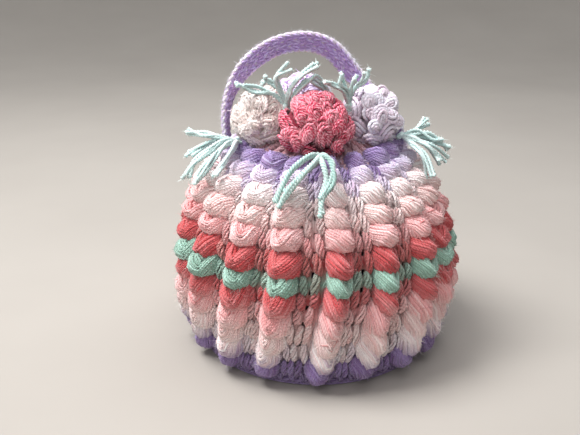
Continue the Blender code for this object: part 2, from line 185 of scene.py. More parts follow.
# Sprigs of cut yarn: the knot, then the points of each strand, as azimuth, distance out and height.
SPRIGS = {
    "leaf_left": (
        (192.0, 52.3, 138.8),
        ((196.0, 62.0, 139.5), (196.0, 72.0, 134.0), (195.0, 81.0, 126.5), (194.0, 86.5, 118.0)),
        ((200.0, 61.0, 139.0), (203.0, 71.0, 133.0), (204.0, 80.0, 125.0), (203.0, 85.0, 117.0)),
        ((205.0, 60.0, 138.5), (211.0, 70.0, 131.5), (212.0, 78.0, 124.0)),
        ((192.0, 63.0, 141.5), (189.0, 73.0, 143.0), (186.0, 82.5, 144.5)),
        ((198.0, 62.0, 141.0), (199.5, 73.0, 136.5), (200.0, 82.0, 129.0), (200.0, 87.0, 121.5)),
        ((190.0, 61.0, 140.0), (190.5, 72.0, 136.5), (190.0, 81.0, 130.0)),
    ),
    "leaf_front": (
        (-96.0, 50.2, 138.2),
        ((-101.0, 60.0, 140.5), (-108.5, 68.0, 136.0), (-111.5, 75.0, 127.0), (-113.5, 80.0, 118.5)),
        ((-98.0, 64.0, 137.5), (-104.0, 72.0, 131.5), (-110.0, 78.0, 122.5)),
        ((-93.0, 61.0, 141.0), (-89.5, 67.0, 138.5), (-91.0, 75.5, 129.5), (-96.0, 81.0, 122.0)),
        ((-94.0, 65.0, 138.5), (-93.5, 74.0, 131.0), (-94.5, 81.0, 122.0), (-95.5, 85.5, 114.0)),
        ((-97.0, 63.0, 139.5), (-103.0, 72.0, 134.0), (-108.5, 79.0, 124.0), (-112.0, 82.5, 116.5)),
    ),
    "leaf_right": (
        (-14.0, 54.5, 140.0),
        ((-10.0, 62.5, 142.5), (-8.0, 70.0, 146.5)),
        ((-12.0, 64.0, 140.0), (-11.0, 75.0, 137.5), (-9.0, 86.0, 131.5)),
        ((-17.0, 63.0, 138.5), (-18.0, 73.0, 134.0), (-17.0, 82.5, 125.5)),
        ((-22.0, 61.5, 138.0), (-27.0, 70.0, 131.5), (-30.0, 77.0, 122.5)),
        ((-13.0, 63.0, 142.0), (-13.5, 72.0, 141.0), (-12.0, 80.0, 137.0)),
        ((-20.0, 62.0, 140.0), (-22.0, 72.0, 135.5), (-23.0, 80.0, 128.0)),
    ),
    "leaf_back": (
        (101.0, 50.8, 137.8),
        ((92.0, 62.0, 138.5), (88.0, 71.5, 132.0), (85.0, 79.5, 122.5)),
        ((100.0, 63.5, 138.5), (100.0, 73.0, 131.0), (99.0, 80.5, 121.0)),
        ((108.0, 62.0, 138.5), (112.5, 71.5, 132.0), (116.0, 79.0, 123.0)),
        ((96.0, 62.5, 139.0), (93.0, 72.0, 133.5), (91.5, 80.0, 124.5)),
    ),
    "leaf_up_left": (
        (-138.0, 28.0, 161.5),
        ((-133.0, 28.5, 170.0), (-120.0, 25.5, 180.0), (-102.0, 21.5, 188.0)),
        ((-146.0, 30.0, 169.5), (-154.0, 34.0, 176.5), (-152.0, 40.0, 177.0)),
        ((-142.0, 31.0, 170.5), (-140.0, 35.5, 179.0), (-128.0, 32.0, 185.0)),
        ((-128.0, 26.0, 169.0), (-112.0, 20.5, 177.5), (-92.0, 17.5, 177.0), (-60.0, 12.0, 168.0)),
        ((-152.0, 31.5, 167.5), (-161.0, 42.0, 171.5), (-164.0, 52.0, 173.0)),
    ),
    "leaf_up_right": (
        (-50.0, 27.0, 161.5),
        ((-54.0, 27.0, 170.0), (-62.0, 25.5, 177.0), (-60.0, 28.5, 183.5)),
        ((-46.0, 28.5, 170.0), (-41.0, 31.5, 176.5), (-45.0, 34.0, 183.0)),
        ((-58.0, 27.5, 168.5), (-72.0, 25.0, 174.5), (-84.0, 25.5, 178.5)),
        ((-50.0, 28.0, 168.0), (-50.0, 30.0, 174.0), (-47.0, 31.0, 179.0)),
    ),
}


def screen(red, green, blue):
    """A colour as it looks on screen, made scene-linear."""
    return tuple(c / 12.92 if c <= 0.04045 else ((c + 0.055) / 1.055) ** 2.4 for c in (red, green, blue))


def yarn_colour(name, description, colour):
    return FloatVectorProperty(
        name=name, description=description, default=screen(*colour), min=0, max=1, size=3, subtype="COLOR"
    )


def measure(name, description, millimetres):
    return FloatProperty(name=name, description=description, default=millimetres * MM, unit="LENGTH")


class COSY_PG_sizes(bpy.types.PropertyGroup):
    strand_thickness: measure("Soft strand", "Thickness of the soft strands before a puff presses them", 2.0)
    puff_strands: IntProperty(name="Strands", description="Strands side by side in a puff", default=15)
    ground_thickness: measure("Ground strand", "Thickness of the strands in the stitches between ribs", 2.0)
    cloth_thickness: measure("Cloth", "Thickness of the cloth under the stitches", 2.4)
    strap_width: measure("Strap width", "Width of the strap", 12)
    strap_thickness: measure("Strap thickness", "Thickness of the strap's cloth", 2.2)
    leaf_thickness: measure("Leaf yarn", "Thickness of the plied yarn of the leaves", 2.3)
    fuzz: IntProperty(
        name="Fuzz", description="Fibres that stand up from each puff; twice as many lie on it", default=80
    )


class COSY_PG_yarns(bpy.types.PropertyGroup):
    purple: yarn_colour("Purple", "Hem and topmost puffs", (0.62, 0.54, 0.74))
    lilac: yarn_colour("Lilac", "Row under the topmost puffs", (0.87, 0.84, 0.93))
    cream: yarn_colour("Cream", "Palest rows", (0.99, 0.96, 0.96))
    peach: yarn_colour("Peach", "Warm pale rows", (0.99, 0.91, 0.90))
    pink: yarn_colour("Pink", "Pink rows", (0.98, 0.80, 0.80))
    coral: yarn_colour("Coral", "Rows beside the mint one", (0.82, 0.405, 0.415))
    mint: yarn_colour("Mint", "Band round the middle", (0.65, 0.81, 0.75))
    crown: yarn_colour("Crown", "Gathered top under the flowers", (0.80, 0.65, 0.68))
    leaf: yarn_colour("Leaves", "Sprigs of cut yarn", (0.91, 1.0, 0.985))
    strap: yarn_colour("Strap", "Carrying strap", (0.86, 0.77, 1.0))
    # Near white, partly as a painted highlight where light from behind catches the strap's edges.
    strap_edge: yarn_colour("Strap edges", "Edges of the strap", (0.95, 0.94, 1.0))
    crimson: yarn_colour("Crimson", "Front flower", (0.93, 0.35, 0.50))
    flower_peach: yarn_colour("Peach flower", "Left flower", (1.0, 0.955, 0.94))
    white_lilac: yarn_colour("White lilac flower", "Right flower", (0.96, 0.95, 1.0))
    lavender: yarn_colour("Lavender flower", "Back flower", (0.91, 0.84, 0.98))


# ---------------------------------------------------------------- shapes


def unit(vectors):
    """Vectors of the same directions, one long."""
    return vectors / np.maximum(np.linalg.norm(vectors, axis=-1, keepdims=True), 1e-9)


def smooth_lines(points, steps):
    """Smooth curves through points of shape (lines, knots, axes)."""
    first, last = 2 * points[:, :1] - points[:, 1:2], 2 * points[:, -1:] - points[:, -2:-1]
    k = np.concatenate([first, points, last], axis=1)
    t = (np.arange(steps) / steps)[None, None, :, None]
    a, b, c, d = (k[:, i : k.shape[1] - 3 + i, None] for i in range(4))
    spans = 0.5 * (2 * b + (c - a) * t + (2 * a - 5 * b + 4 * c - d) * t**2 + (3 * (b - c) + d - a) * t**3)
    return np.concatenate([spans.reshape(len(points), -1, points.shape[2]), points[:, -1:]], axis=1)


def polar(azimuth, out, height):
    """A point from its azimuth in degrees, its distance from the upright axis and its height."""
    turn = math.radians(azimuth)
    return np.array([out * math.cos(turn), out * math.sin(turn), height])


def profile_at(height, column):
    """The cloth's radius or lean at a height."""
    return np.interp(height, HEIGHTS, [row[column] for row in PROFILE])


def off_from(azimuth, centre):
    """Degrees from one azimuth round to another, from -180 to 180."""
    return (azimuth - centre + 180) % 360 - 180


def slit_opening(slit, height):
    """Half of a slit's opening at a height."""
    _, low, high, width = SLITS[slit]
    share = np.clip((height - low) / (high - low), 0, 1)
    return width / 2 * np.sin(np.pi * share)


def pushed_aside(azimuth, height):
    """Azimuths once the open slits have pushed the cloth aside."""
    azimuth, height = np.broadcast_arrays(np.asarray(azimuth, float), np.asarray(height, float))
    moved = azimuth.copy()
    for slit, (centre, *_) in SLITS.items():
        off = off_from(azimuth, centre)
        most = np.degrees(slit_opening(slit, height) / profile_at(height, RADIUS)) * SLIT_PUSH
        moved = moved + most * off / (PITCH / 2) * np.exp(1 - abs(off) / (PITCH / 2))
    return moved


def rib_azimuth(place):
    """Azimuth of a place counted in ribs, so 2.5 is half way from rib 2 to rib 3."""
    places = np.arange(-1, RIBS + 1)
    ribs = [(rib + 0.5) * PITCH + ASKEW.get(rib % RIBS, 0.0) for rib in places]
    return np.interp(place, places, ribs)


SLOPE_REACH = 2.0  # how far up and down the cloth its slope is read


def on_cloth(azimuth, height):
    """Points on the cloth with its directions: right, up the cloth and outwards. Azimuth in degrees."""
    height = np.asarray(height, float)
    turn = np.radians(pushed_aside(azimuth, height) + profile_at(height, LEAN))
    low, high = np.maximum(height - SLOPE_REACH, 0.0), np.minimum(height + SLOPE_REACH, TOP)
    rise, run = high - low, profile_at(high, RADIUS) - profile_at(low, RADIUS)
    size = np.hypot(rise, run)
    cos, sin, zero = np.cos(turn), np.sin(turn), np.zeros_like(turn)
    radius = profile_at(height, RADIUS)
    point = np.stack([radius * cos, radius * sin, height + zero], -1)
    right = np.stack([-sin, cos, zero], -1)
    up = np.stack([run / size * cos, run / size * sin, rise / size + zero], -1)
    return point, right, up, np.cross(right, up)


# ---------------------------------------------------------------- strands and fibres

TWIST = 0.17  # turns of a yarn's plies in each millimetre
PLY_RISE, PLY_DIP = 1.16, 0.76  # a plied strand's radius on its plies and between them
YARN_LENGTH = 400  # a strand starts at random up to this far into the yarn's pattern
PAINTED_SHADE_TONE, FIBRE_TONE = 0.2, 0.9  # paleness of the painted shade under strands, and of loose fibres
FIBRE_SEAT = 0.4  # how far outside the middle of its strand a fibre starts
FIBRE_SPREAD = 0.6  # how much fibres differ in direction
FIBRE_CURL = 0.55  # how far a fibre curls, as a share of its length
FIBRE_SHAPE, FIBRE_SCALE = 3.0, 0.33  # gamma distribution of their lengths, with its mean at a usual length
LONGEST_FIBRE = 1.6  # the longest fibre, as a share of the usual length
FIBRE_PALER = 0.15  # how much white is in the fibres' colour
FLOOR_GAP = 0.1  # the lowest point of any strand


class Yarns:
    """Lengths of yarn that become one mesh."""

    def __init__(self, seed):
        self.rng = np.random.default_rng(seed)
        self.parts = []

    def add(self, lines, radii, outward, colour, sides=4, ends=(0.55, 0.9), twisted=False):
        """Lines of shape (lines, points, 3), in millimetres, each turned into a closed tube."""
        count, points = lines.shape[:2]
        radii = np.broadcast_to(np.asarray(radii, float), (count, points)).copy()
        for i, share in enumerate(ends):
            radii[:, i] *= share
            radii[:, points - 1 - i] *= share
        length = np.cumsum(np.linalg.norm(np.diff(lines, axis=1), axis=-1), axis=1)
        length = np.concatenate([np.zeros((count, 1)), length], 1)
        length = length + self.rng.uniform(0, YARN_LENGTH, (count, 1))
        turns = TWIST * length[..., None]
        angle = np.arange(sides) / sides + (turns if twisted else 0 * turns)
        around = np.arange(sides) / sides + (0 * turns if twisted else turns)
        plies = np.where(np.arange(sides) % 2, PLY_DIP, PLY_RISE) if twisted else 1.0
        radii = radii[..., None] * plies
        along = unit(np.gradient(lines, axis=1))
        side = unit(np.cross(along, np.broadcast_to(outward, lines.shape)))
        rise = np.cross(side, along)
        cos, sin = np.cos(TURN * angle)[..., None], np.sin(TURN * angle)[..., None]
        ring = side[:, :, None] * cos + rise[:, :, None] * sin
        co = (lines[:, :, None] + ring * np.broadcast_to(radii, angle.shape)[..., None]).reshape(-1, 3)
        index = np.arange(count * points * sides).reshape(count, points, sides)
        after = np.roll(index, -1, axis=2)
        quads = np.stack([index[:, :-1], after[:, :-1], after[:, 1:], index[:, 1:]], -1)
        caps = np.concatenate([index[:, 0, ::-1], index[:, -1]])
        u = np.broadcast_to(length[..., None], index.shape)
        step = 1 / sides
        corners = (u[:, :-1], around[:, :-1]), (u[:, :-1], around[:, :-1] + step)
        corners += (u[:, 1:], around[:, 1:] + step), (u[:, 1:], around[:, 1:])
        uv = np.stack([np.stack(corner, -1) for corner in corners], axis=3).reshape(-1, 2)
        cap_uv = np.concatenate([np.stack([u[:, end], around[:, end]], -1) for end in (0, -1)])
        tones = np.repeat(self.rng.uniform(0, 1, count), points * sides)
        dyes = np.repeat(np.broadcast_to(colour, lines.shape).reshape(-1, 3), sides, axis=0)
        self.parts.append((co, quads.reshape(-1, 4), caps, uv, cap_uv.reshape(-1, 2), tones, dyes))

    def core(self, co, quads, colour, tone=PAINTED_SHADE_TONE, around=1 / 6):
        """A plain form under the strands, painted in shade, or the flat blades of loose fibres."""
        no_caps, no_uv = np.zeros((0, 4), int), np.zeros((0, 2))
        # A form's pattern sits where the plies meet, deepest in colour: with its low tone, painted shade.
        uv = np.tile((0.0, around), (quads.size, 1))
        tones = np.full(len(co), tone)
        self.parts.append((co, quads, no_caps, uv, no_uv, tones, np.broadcast_to(colour, co.shape)))

    def fuzz(self, lines, count, length, colour, width=0.16, lying=0.5, bends=1):
        """Loose curled fibres on lines of shape (lines, points, 3), more or less along them."""
        rng = self.rng
        which, at = rng.integers(0, lines.shape[0], count), rng.integers(1, lines.shape[1] - 1, count)
        root = lines[which, at]
        along = unit(lines[which, at + 1] - lines[which, at - 1]) * rng.choice((-1, 1), (count, 1))
        away = unit(root - lines.mean((0, 1)))
        root = root + away * FIBRE_SEAT
        out = unit(rng.normal(0, FIBRE_SPREAD, (count, 3)) + (1.2 - lying) * away + 1.6 * lying * along)
        curl = unit(rng.normal(0, 1, (count, 3)))
        t = np.linspace(0, 1, bends + 2)[:, None]
        reach = np.minimum(rng.gamma(FIBRE_SHAPE, FIBRE_SCALE, (count, 1, 1)), LONGEST_FIBRE) * length
        path = root[:, None] + (out[:, None] * t + curl[:, None] * FIBRE_CURL * t**2) * reach
        side = unit(np.cross(out, rng.normal(0, 1, (count, 3))))[:, None] * width / 2 * (1.2 - 0.9 * t)
        co = np.stack([path - side, path + side], 2).reshape(-1, 3)
        index = np.arange(count * len(t) * 2).reshape(count, len(t), 2)
        quads = np.stack([index[:, :-1, 0], index[:, :-1, 1], index[:, 1:, 1], index[:, 1:, 0]], -1)
        colour = np.broadcast_to(colour, lines.shape)[which, at] * (1 - FIBRE_PALER) + FIBRE_PALER
        self.core(co, quads.reshape(-1, 4), np.repeat(colour, len(t) * 2, axis=0), FIBRE_TONE, 0.0)

    def build(self, name, material):
        """One object of everything added so far, with nothing below the floor."""
        sizes, corners, uvs, base = [], [], [], 0
        for co, quads, caps, uv, cap_uv, _, _ in self.parts:
            for faces, face_uv in ((quads, uv), (caps, cap_uv)):
                if len(faces):
                    corners.append((faces + base).ravel())
                    sizes.append(np.full(len(faces), faces.shape[1]))
                    uvs.append(face_uv)
            base += len(co)
        cos, *_, tones, dyes = zip(*self.parts)
        co, tones, dyes = np.concatenate(cos) * MM, np.concatenate(tones), np.concatenate(dyes)
        corners, sizes = np.concatenate(corners), np.concatenate(sizes)
        co[:, 2] = np.maximum(co[:, 2], FLOOR_GAP * MM)
        starts = np.concatenate([[0], np.cumsum(sizes)[:-1]])
        mesh = bpy.data.meshes.new(name)
        mesh.vertices.add(len(co))
        mesh.vertices.foreach_set("co", co.astype(np.float32).ravel())
        mesh.loops.add(len(corners))
        mesh.loops.foreach_set("vertex_index", corners.astype(np.int32))
        mesh.polygons.add(len(sizes))
        mesh.polygons.foreach_set("loop_start", starts.astype(np.int32))
        mesh.update(calc_edges=True)
        return dressed(name, mesh, np.concatenate(uvs), dyes, tones, material)


def dressed(name, mesh, uvs, dyes, tones, material):
    """An object of a mesh, with the yarn's pattern and colours on it. Tones say how pale the strands are."""
    mesh.polygons.foreach_set("use_smooth", np.ones(len(mesh.polygons), bool))
    mesh.uv_layers.new(name="yarn").data.foreach_set("uv", np.asarray(uvs, np.float32).ravel())
    dyes = np.concatenate([dyes, np.ones((len(dyes), 1))], 1).astype(np.float32)
    mesh.attributes.new("dye", "FLOAT_COLOR", "POINT").data.foreach_set("color", dyes.ravel())
    mesh.attributes.new("tone", "FLOAT", "POINT").data.foreach_set("value", np.asarray(tones, np.float32))
    mesh.materials.append(material)
    made = bpy.data.objects.new(name, mesh)
    bpy.context.scene.collection.objects.link(made)
    return made


def dye(name):
    """A yarn's colour."""
    return np.array(getattr(bpy.context.scene.cosy_yarns, name))


# ---------------------------------------------------------------- puff stitches

DOME = 1.80  # angle from a puff's front to its rim, in radians
CLOSED = 0.97  # how much of the unit disc the strands cover
SQUARE, SQUARER = 2.5, 1.1  # how square a puff's head is, where 2 is round, and how much squarer its foot
HOLLOW = 0.05  # how wide the dimple is
ABOVE, BELOW = (0.75, 0.03), (0.4, 0.02)  # depth and width of the creases over and under the dimple
DEEPEST = 0.7  # the most that a dimple and its creases take off the dome
SIDE_LEAN = 0.07  # how much lower a puff is to the right of its dimple


def lifted(disc, sizes, dimple, place):
    """Points of the unit disc on a puff's dome: right, up and out. Its foot is squarer than its head."""
    width, height, depth = sizes
    x, y = disc[..., 0], disc[..., 1]
    reach = np.maximum(np.hypot(x, y), 1e-6)
    square = SQUARE + SQUARER * np.clip(-y / reach, 0, 1)
    fuller = reach / (np.abs(x) ** square + np.abs(y) ** square) ** (1 / square)
    angle = reach * DOME
    spread = np.sin(angle) / reach * fuller
    dx, dy = x - place[0], y - place[1]
    above = np.clip((dy + 0.12) / 0.3, 0, 1)
    below = np.clip((-dy + 0.1) / 0.5, 0, 1) * np.clip(1.2 + dy, 0, 1)
    crease = ABOVE[0] * np.exp(-((dx - 0.1 * dy) ** 2) / ABOVE[1]) * above
    crease = crease + BELOW[0] * np.exp(-((dx + 0.35 * dy) ** 2) / BELOW[1]) * below
    scale = 1 - np.clip(dimple * (np.exp(-(dx**2 + dy**2) / HOLLOW) + crease), 0, DEEPEST)
    cup = 0.5 + 0.5 * scale
    out = np.cos(angle) * scale + 0.1 * reach**2 - SIDE_LEAN * np.tanh(4 * dx) * np.cos(angle)
    return np.stack([width * spread * x * cup, height * spread * y * cup, depth * out], -1)


DROOP_CURVE = 2.6  # how near to its root a puff already hangs


def placed(local, frame_at, droop, depth):
    """Local points on a puff's own frame, its front hanging lower than its root."""
    point, right, up, out = frame_at
    world = point + local[..., :1] * right + local[..., 1:2] * up + local[..., 2:] * out
    share = 1 - np.clip(local[..., 2] / depth, 0, 1)
    world[..., 2] -= droop * (1 - share**DROOP_CURVE)
    return world


RING_TURNS = (188, 220, 250, 272, 294, 322, 352)  # directions from the dimple, from left round to right
FOLD_SHARES = (0.45, 0.75, 0.93)  # places down a folded strand
FOLD_BULGES = (1.0, 0.8, 0.35)  # how far it swells at each of them
INNERMOST = 0.05  # how near the dimple the first strand passes
EDGE_SHARE = 0.6  # how near the rim a strand's second point is
STRAND_WANDER = 0.012  # how unevenly it lies


def nested_strands(rng, strands, place, pointed):
    """Strands on the unit disc: in from the left, round below the dimple and up at the right."""
    share = np.clip((np.arange(strands) + rng.uniform(-0.2, 0.2, strands)) / (strands - 1), 0, 1)[:, None]
    place = np.asarray(place, float)
    start, finish = np.radians(95 + 113 * share), np.radians(85 - 113 * share)
    left = CLOSED * np.concatenate([np.cos(start), np.sin(start)], -1)
    right = CLOSED * np.concatenate([np.cos(finish), np.sin(finish)], -1)
    # rounded: an even ring about the dimple
    turns = np.radians(np.array(RING_TURNS))
    facing = np.stack([np.cos(turns), np.sin(turns)], -1)
    along = facing @ place
    rim = -along + np.sqrt(along**2 - place @ place + CLOSED**2)
    ring = place + (INNERMOST + (rim - INNERMOST) * share)[..., None] * facing
    # folded: down to a point below the dimple and up again
    turn = place + np.concatenate([0.02 + 0 * share, -0.06 - (0.86 + place[1] - 0.06) * share], -1)
    bulge = 0.02 + 0.17 * share
    shares, bulges = np.array(FOLD_SHARES), np.array(FOLD_BULGES)
    sides = []
    for side, edge in ((1, left), (-1, right)):
        toward = unit(turn - edge) * side
        low = np.stack([toward[:, 1], -toward[:, 0]], -1) * bulge
        knots = edge[:, None] * (1 - shares)[:, None] + turn[:, None] * shares[:, None]
        sides.append(knots + low[:, None] * bulges[:, None])
    fold = np.concatenate([sides[0], turn[:, None], sides[1][:, ::-1]], axis=1)
    middle = ring * (1 - pointed) + fold * pointed
    inner_left = left * EDGE_SHARE + middle[:, 0] * (1 - EDGE_SHARE)
    inner_right = right * EDGE_SHARE + middle[:, -1] * (1 - EDGE_SHARE)
    knots = [left[:, None], inner_left[:, None], middle, inner_right[:, None], right[:, None]]
    knots = np.concatenate(knots, axis=1)
    knots[:, 1:-1] += rng.normal(0, STRAND_WANDER, knots[:, 1:-1].shape)
    return knots


def side_by_side(lines, share, least, most):
    """Radii that make neighbouring lines press on each other."""
    along = unit(np.gradient(lines, axis=1))
    step = np.diff(lines, axis=0)
    step = step - np.sum(step * along[1:], -1, keepdims=True) * along[1:]
    gap = np.linalg.norm(step, axis=-1)
    gap = np.concatenate([gap[:1], (gap[:-1] + gap[1:]) / 2, gap[-1:]])
    return np.clip(gap * share, least, most)


def dome(sizes, dimple, place, rings=5, sides=12, under=0.95):
    """A closed dome just under a puff's strands."""
    reach = np.linspace(0.06, 1.0, rings + 1)
    angle = TURN * np.arange(sides) / sides
    disc = np.stack([np.outer(reach, np.cos(angle)), np.outer(reach, np.sin(angle))], -1)
    co = lifted(disc, sizes, dimple, place) * under
    tip, foot = co[0].mean(0), co[-1].mean(0)
    index = np.arange(co.shape[0] * sides).reshape(co.shape[0], sides)
    after = np.roll(index, -1, 1)
    quads = np.stack([index[:-1], index[1:], after[1:], after[:-1]], -1).reshape(-1, 4)
    co = np.concatenate([co.reshape(-1, 3), [tip, foot]])
    near, far = len(co) - 2, len(co) - 1
    lids = []
    for i in range(0, sides, 2):
        lids.append((near, index[0, i], index[0, (i + 1) % sides], index[0, (i + 2) % sides]))
        lids.append((far, index[-1, (i + 2) % sides], index[-1, (i + 1) % sides], index[-1, i]))
    return co, np.concatenate([quads, np.array(lids)])


PRESSED = 0.72  # a strand's radius as a share of its distance from the next
THINNEST, THICKEST = 0.25, 0.65  # the least and most radius of a strand, in yarn thicknesses
FADE_FROM, FADE_STEP, FADE_STRAY = 0.15, 1.1, 0.22  # start of a puff's lower colour, its rate, its unevenness
GLOW_REACH = 0.3  # how far from its dimple a puff has the dimple's colour
CORE_SHARE = 0.7  # the core's colour is that of a strand this far out


def work_puff(yarns, frame_at, sizes, droop, dimple, place, colours, thickness, strands, roll, pointed):
    """One puff of nested strands over a plain core. The colours are its own, the one of its lower edge and
    how much of it, and the one round its dimple and how much of it. Returns its strands and their colours."""
    rng = yarns.rng
    point, right, up, out = frame_at
    roll = math.radians(roll)
    right, up = right * math.cos(roll) + up * math.sin(roll), up * math.cos(roll) - right * math.sin(roll)
    frame_at = (point, right, up, out)
    disc = nested_strands(rng, strands, place, pointed)
    local = lifted(disc, sizes, dimple, place)
    local = local * (1 + rng.normal(0, 0.01, (strands, 1, 1)) + rng.normal(0, 0.01, (*disc.shape[:2], 1)))
    lines = placed(local, frame_at, droop, sizes[2])
    middle = placed(np.zeros((1, 1, 3)), frame_at, droop * 0.3, sizes[2])
    own, lower, fades, inner, glows = colours

    def tinted(heights, share, stray):
        fade = fades * np.clip(FADE_FROM - FADE_STEP * heights / sizes[1] + stray, 0, 1)[..., None]
        glow = glows * np.exp(-((share / GLOW_REACH) ** 2))[..., None]
        return (own * (1 - fade) + lower * fade) * (1 - glow) + inner * glow

    share = np.linspace(0, 1, strands)[:, None]
    colour = tinted(local[..., 1], share + 0 * local[..., 1], rng.normal(0, FADE_STRAY, (strands, 1)))
    radii = side_by_side(lines, PRESSED, thickness * THINNEST, thickness * THICKEST)
    radii = radii * rng.normal(1, 0.08, (strands, 1))
    yarns.add(lines, radii, lines - middle, colour, ends=(0.8,))
    co, quads = dome(sizes, dimple, place)
    colours = tinted(co[:, 1], np.full(len(co), CORE_SHARE), 0.0)
    # The core under the strands is painted in shade by its low tone.
    yarns.core(placed(co, frame_at, droop, sizes[2]), quads, colours)
    return lines, colour


def caught_strand(yarns, frame_at, sizes, droop, dimple, place, colour):
    """A strand of the next yarn, caught in the groove over a puff and in its dimple."""
    rng = yarns.rng
    x, y = place
    left, right = rng.uniform(0.3, 0.75), rng.uniform(0.3, 0.7)
    high, low = rng.uniform(0.12, 0.22), rng.uniform(-0.1, 0.02)
    knots = [(x - left, high), (x - left * 0.5, high + 0.03), (x - 0.1, y * 0.6 + 0.02), (x, low)]
    knots += [(x + 0.09, y * 0.6), (x + right * 0.5, high + 0.05), (x + right, high + 0.02)]
    disc = smooth_lines(np.array(knots)[None], 2)
    lines = placed(lifted(disc, sizes, dimple * 0.9, place) * 1.03, frame_at, droop, sizes[2])
    yarns.add(lines, 0.5, lines - frame_at[0], colour)


# ---------------------------------------------------------------- yarn

PAINTED_SHADE_GAMMA = 1.35  # how much deeper a yarn is painted in shade, and in its deeper random tones
PAINTED_SHADE_TINT = (0.88, 0.73, 0.74)  # what is left of its colour in painted shade, pinkish
# How much its fibres, its patches and the tone of its strand make a yarn paler or deeper.
FIBRES, PATCHES, TONES = 1.1, 0.3, 0.7


def add_node(tree, kind, inputs=(), **settings):
    """A node with its settings and inputs; an input is a value or a socket."""
    node = tree.nodes.new(kind)
    for name, value in settings.items():
        setattr(node, name, value)
    for key, value in dict(inputs).items():
        if isinstance(value, bpy.types.NodeSocket):
            tree.links.new(value, node.inputs[key])
        else:
            node.inputs[key].default_value = value
    return node


def times(tree, first, by):
    """A node's output that is first * by."""
    return add_node(tree, "ShaderNodeMath", {0: first, 1: by}, operation="MULTIPLY").outputs[0]


def sum_of(tree, first, by, plus):
    """A node's output that is first * by + plus."""
    inputs = {0: first, 1: by, 2: plus}
    return add_node(tree, "ShaderNodeMath", inputs, operation="MULTIPLY_ADD").outputs[0]


def yarn(name, ply_share, painted_highlight, soft=0.12, painted_shade_tint=PAINTED_SHADE_TINT):
    """Soft yarn in the colour of its points. Its plies and fibres follow the strand, with painted shade
    between them.
    """
    if name in bpy.data.materials:
        return bpy.data.materials[name]
    material = bpy.data.materials.new(name)
    material.use_nodes = True
    tree = material.node_tree
    shader = tree.nodes["Principled BSDF"]
    uv = add_node(tree, "ShaderNodeUVMap", uv_map="yarn").outputs[0]
    strand = add_node(tree, "ShaderNodeSeparateXYZ", {0: uv})
    along, around = strand.outputs[0], strand.outputs[1]
    wave = add_node(tree, "ShaderNodeMath", {0: times(tree, around, 3 * TURN)}, operation="COSINE").outputs[0]
    ply = sum_of(tree, wave, 0.5, 0.5)
    where = {0: times(tree, along, 0.5), 1: times(tree, around, 12.0)}
    where = add_node(tree, "ShaderNodeCombineXYZ", where).outputs[0]
    fibre = {"Vector": where, "Scale": 1.6, "Detail": 3.0, "Roughness": 0.65}
    fibre = add_node(tree, "ShaderNodeTexNoise", fibre).outputs[0]
    place = add_node(tree, "ShaderNodeTexCoord").outputs["Object"]
    patch = {"Vector": place, "Scale": 120.0, "Detail": 2.0}
    patch = add_node(tree, "ShaderNodeTexNoise", patch).outputs[0]
    tone = add_node(tree, "ShaderNodeAttribute", attribute_name="tone").outputs["Fac"]
    # Plies paint shade between them and a highlight on their crests; fibres, patches and tones vary at
    # random.
    pale = sum_of(tree, ply, ply_share, 0.5 - (ply_share + FIBRES + PATCHES + TONES) / 2)
    for part, share in ((fibre, FIBRES), (patch, PATCHES), (tone, TONES)):
        pale = sum_of(tree, part, share, pale)
    pale = add_node(tree, "ShaderNodeMapRange", {0: pale, 1: 0.05, 2: 0.9}).outputs[0]
    colour = add_node(tree, "ShaderNodeAttribute", attribute_name="dye").outputs["Color"]
    # The deep end: painted shade, and the darker random tones.
    deep = add_node(tree, "ShaderNodeGamma", {0: colour, 1: PAINTED_SHADE_GAMMA}).outputs[0]
    deep = add_node(tree, "ShaderNodeVectorMath", {0: deep, 1: painted_shade_tint}, operation="MULTIPLY").outputs[0]
    # The light end: white added as a painted highlight, and the paler random tones.
    light = {0: colour, 1: (1 - painted_highlight,) * 3, 2: (painted_highlight,) * 3}
    light = add_node(tree, "ShaderNodeVectorMath", light, operation="MULTIPLY_ADD").outputs[0]
    mixed = add_node(tree, "ShaderNodeMix", {0: pale, 6: deep, 7: light}, data_type="RGBA").outputs[2]
    tree.links.new(mixed, shader.inputs["Base Color"])
    relief = {"Strength": 0.7, "Distance": 0.35 * MM, "Height": sum_of(tree, fibre, 0.8, ply)}
    tree.links.new(add_node(tree, "ShaderNodeBump", relief).outputs[0], shader.inputs["Normal"])
    for socket, value in (
        ("Roughness", 0.95),
        ("Specular IOR Level", 0.15),
        ("Sheen Weight", 0.28),
        ("Sheen Roughness", 0.5),
        ("Sheen Tint", (1.0, 0.95, 0.94, 1)),
        ("Subsurface Weight", soft),
        ("Subsurface Radius", (1.0, 0.75, 0.7)),
        ("Subsurface Scale", 1.0 * MM),
    ):
        shader.inputs[socket].default_value = value
    return material


def soft_yarn():
    return yarn("soft_yarn", 0.2, 0.04)


def fluffy_yarn():
    return yarn("fluffy_yarn", 0.0, 0.2, soft=0.05, painted_shade_tint=(0.98, 0.92, 0.91))


def plied_yarn():
    return yarn("plied_yarn", 1.0, 0.30, painted_shade_tint=(0.84, 0.80, 0.82))


# ---------------------------------------------------------------- pieces


def finish_piece(made, slot, *replaced):
    """Put a piece on the body and hide the CAD nodes that it stands for. The finish it is given is not used.
    """
    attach(made, "root")
    if replaced:
        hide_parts(*replaced)
    return made


def select_only(*objects):
    """Select these and nothing else, the last of them as the active one."""
    bpy.ops.object.select_all(action="DESELECT")
    for made in objects:
        made.select_set(True)
    bpy.context.view_layer.objects.active = objects[-1]


def thicken(made, thickness, offset):
    """Turn an open surface into a wall, without the points that no face uses."""
    select_only(made)
    bpy.ops.object.mode_set(mode="EDIT")
    bpy.ops.mesh.select_all(action="SELECT")
    bpy.ops.mesh.delete_loose()
    bpy.ops.object.mode_set(mode="OBJECT")
    wall = made.modifiers.new("wall", "SOLIDIFY")
    wall.thickness = thickness
    wall.offset = offset
    bpy.ops.object.modifier_apply(modifier="wall")


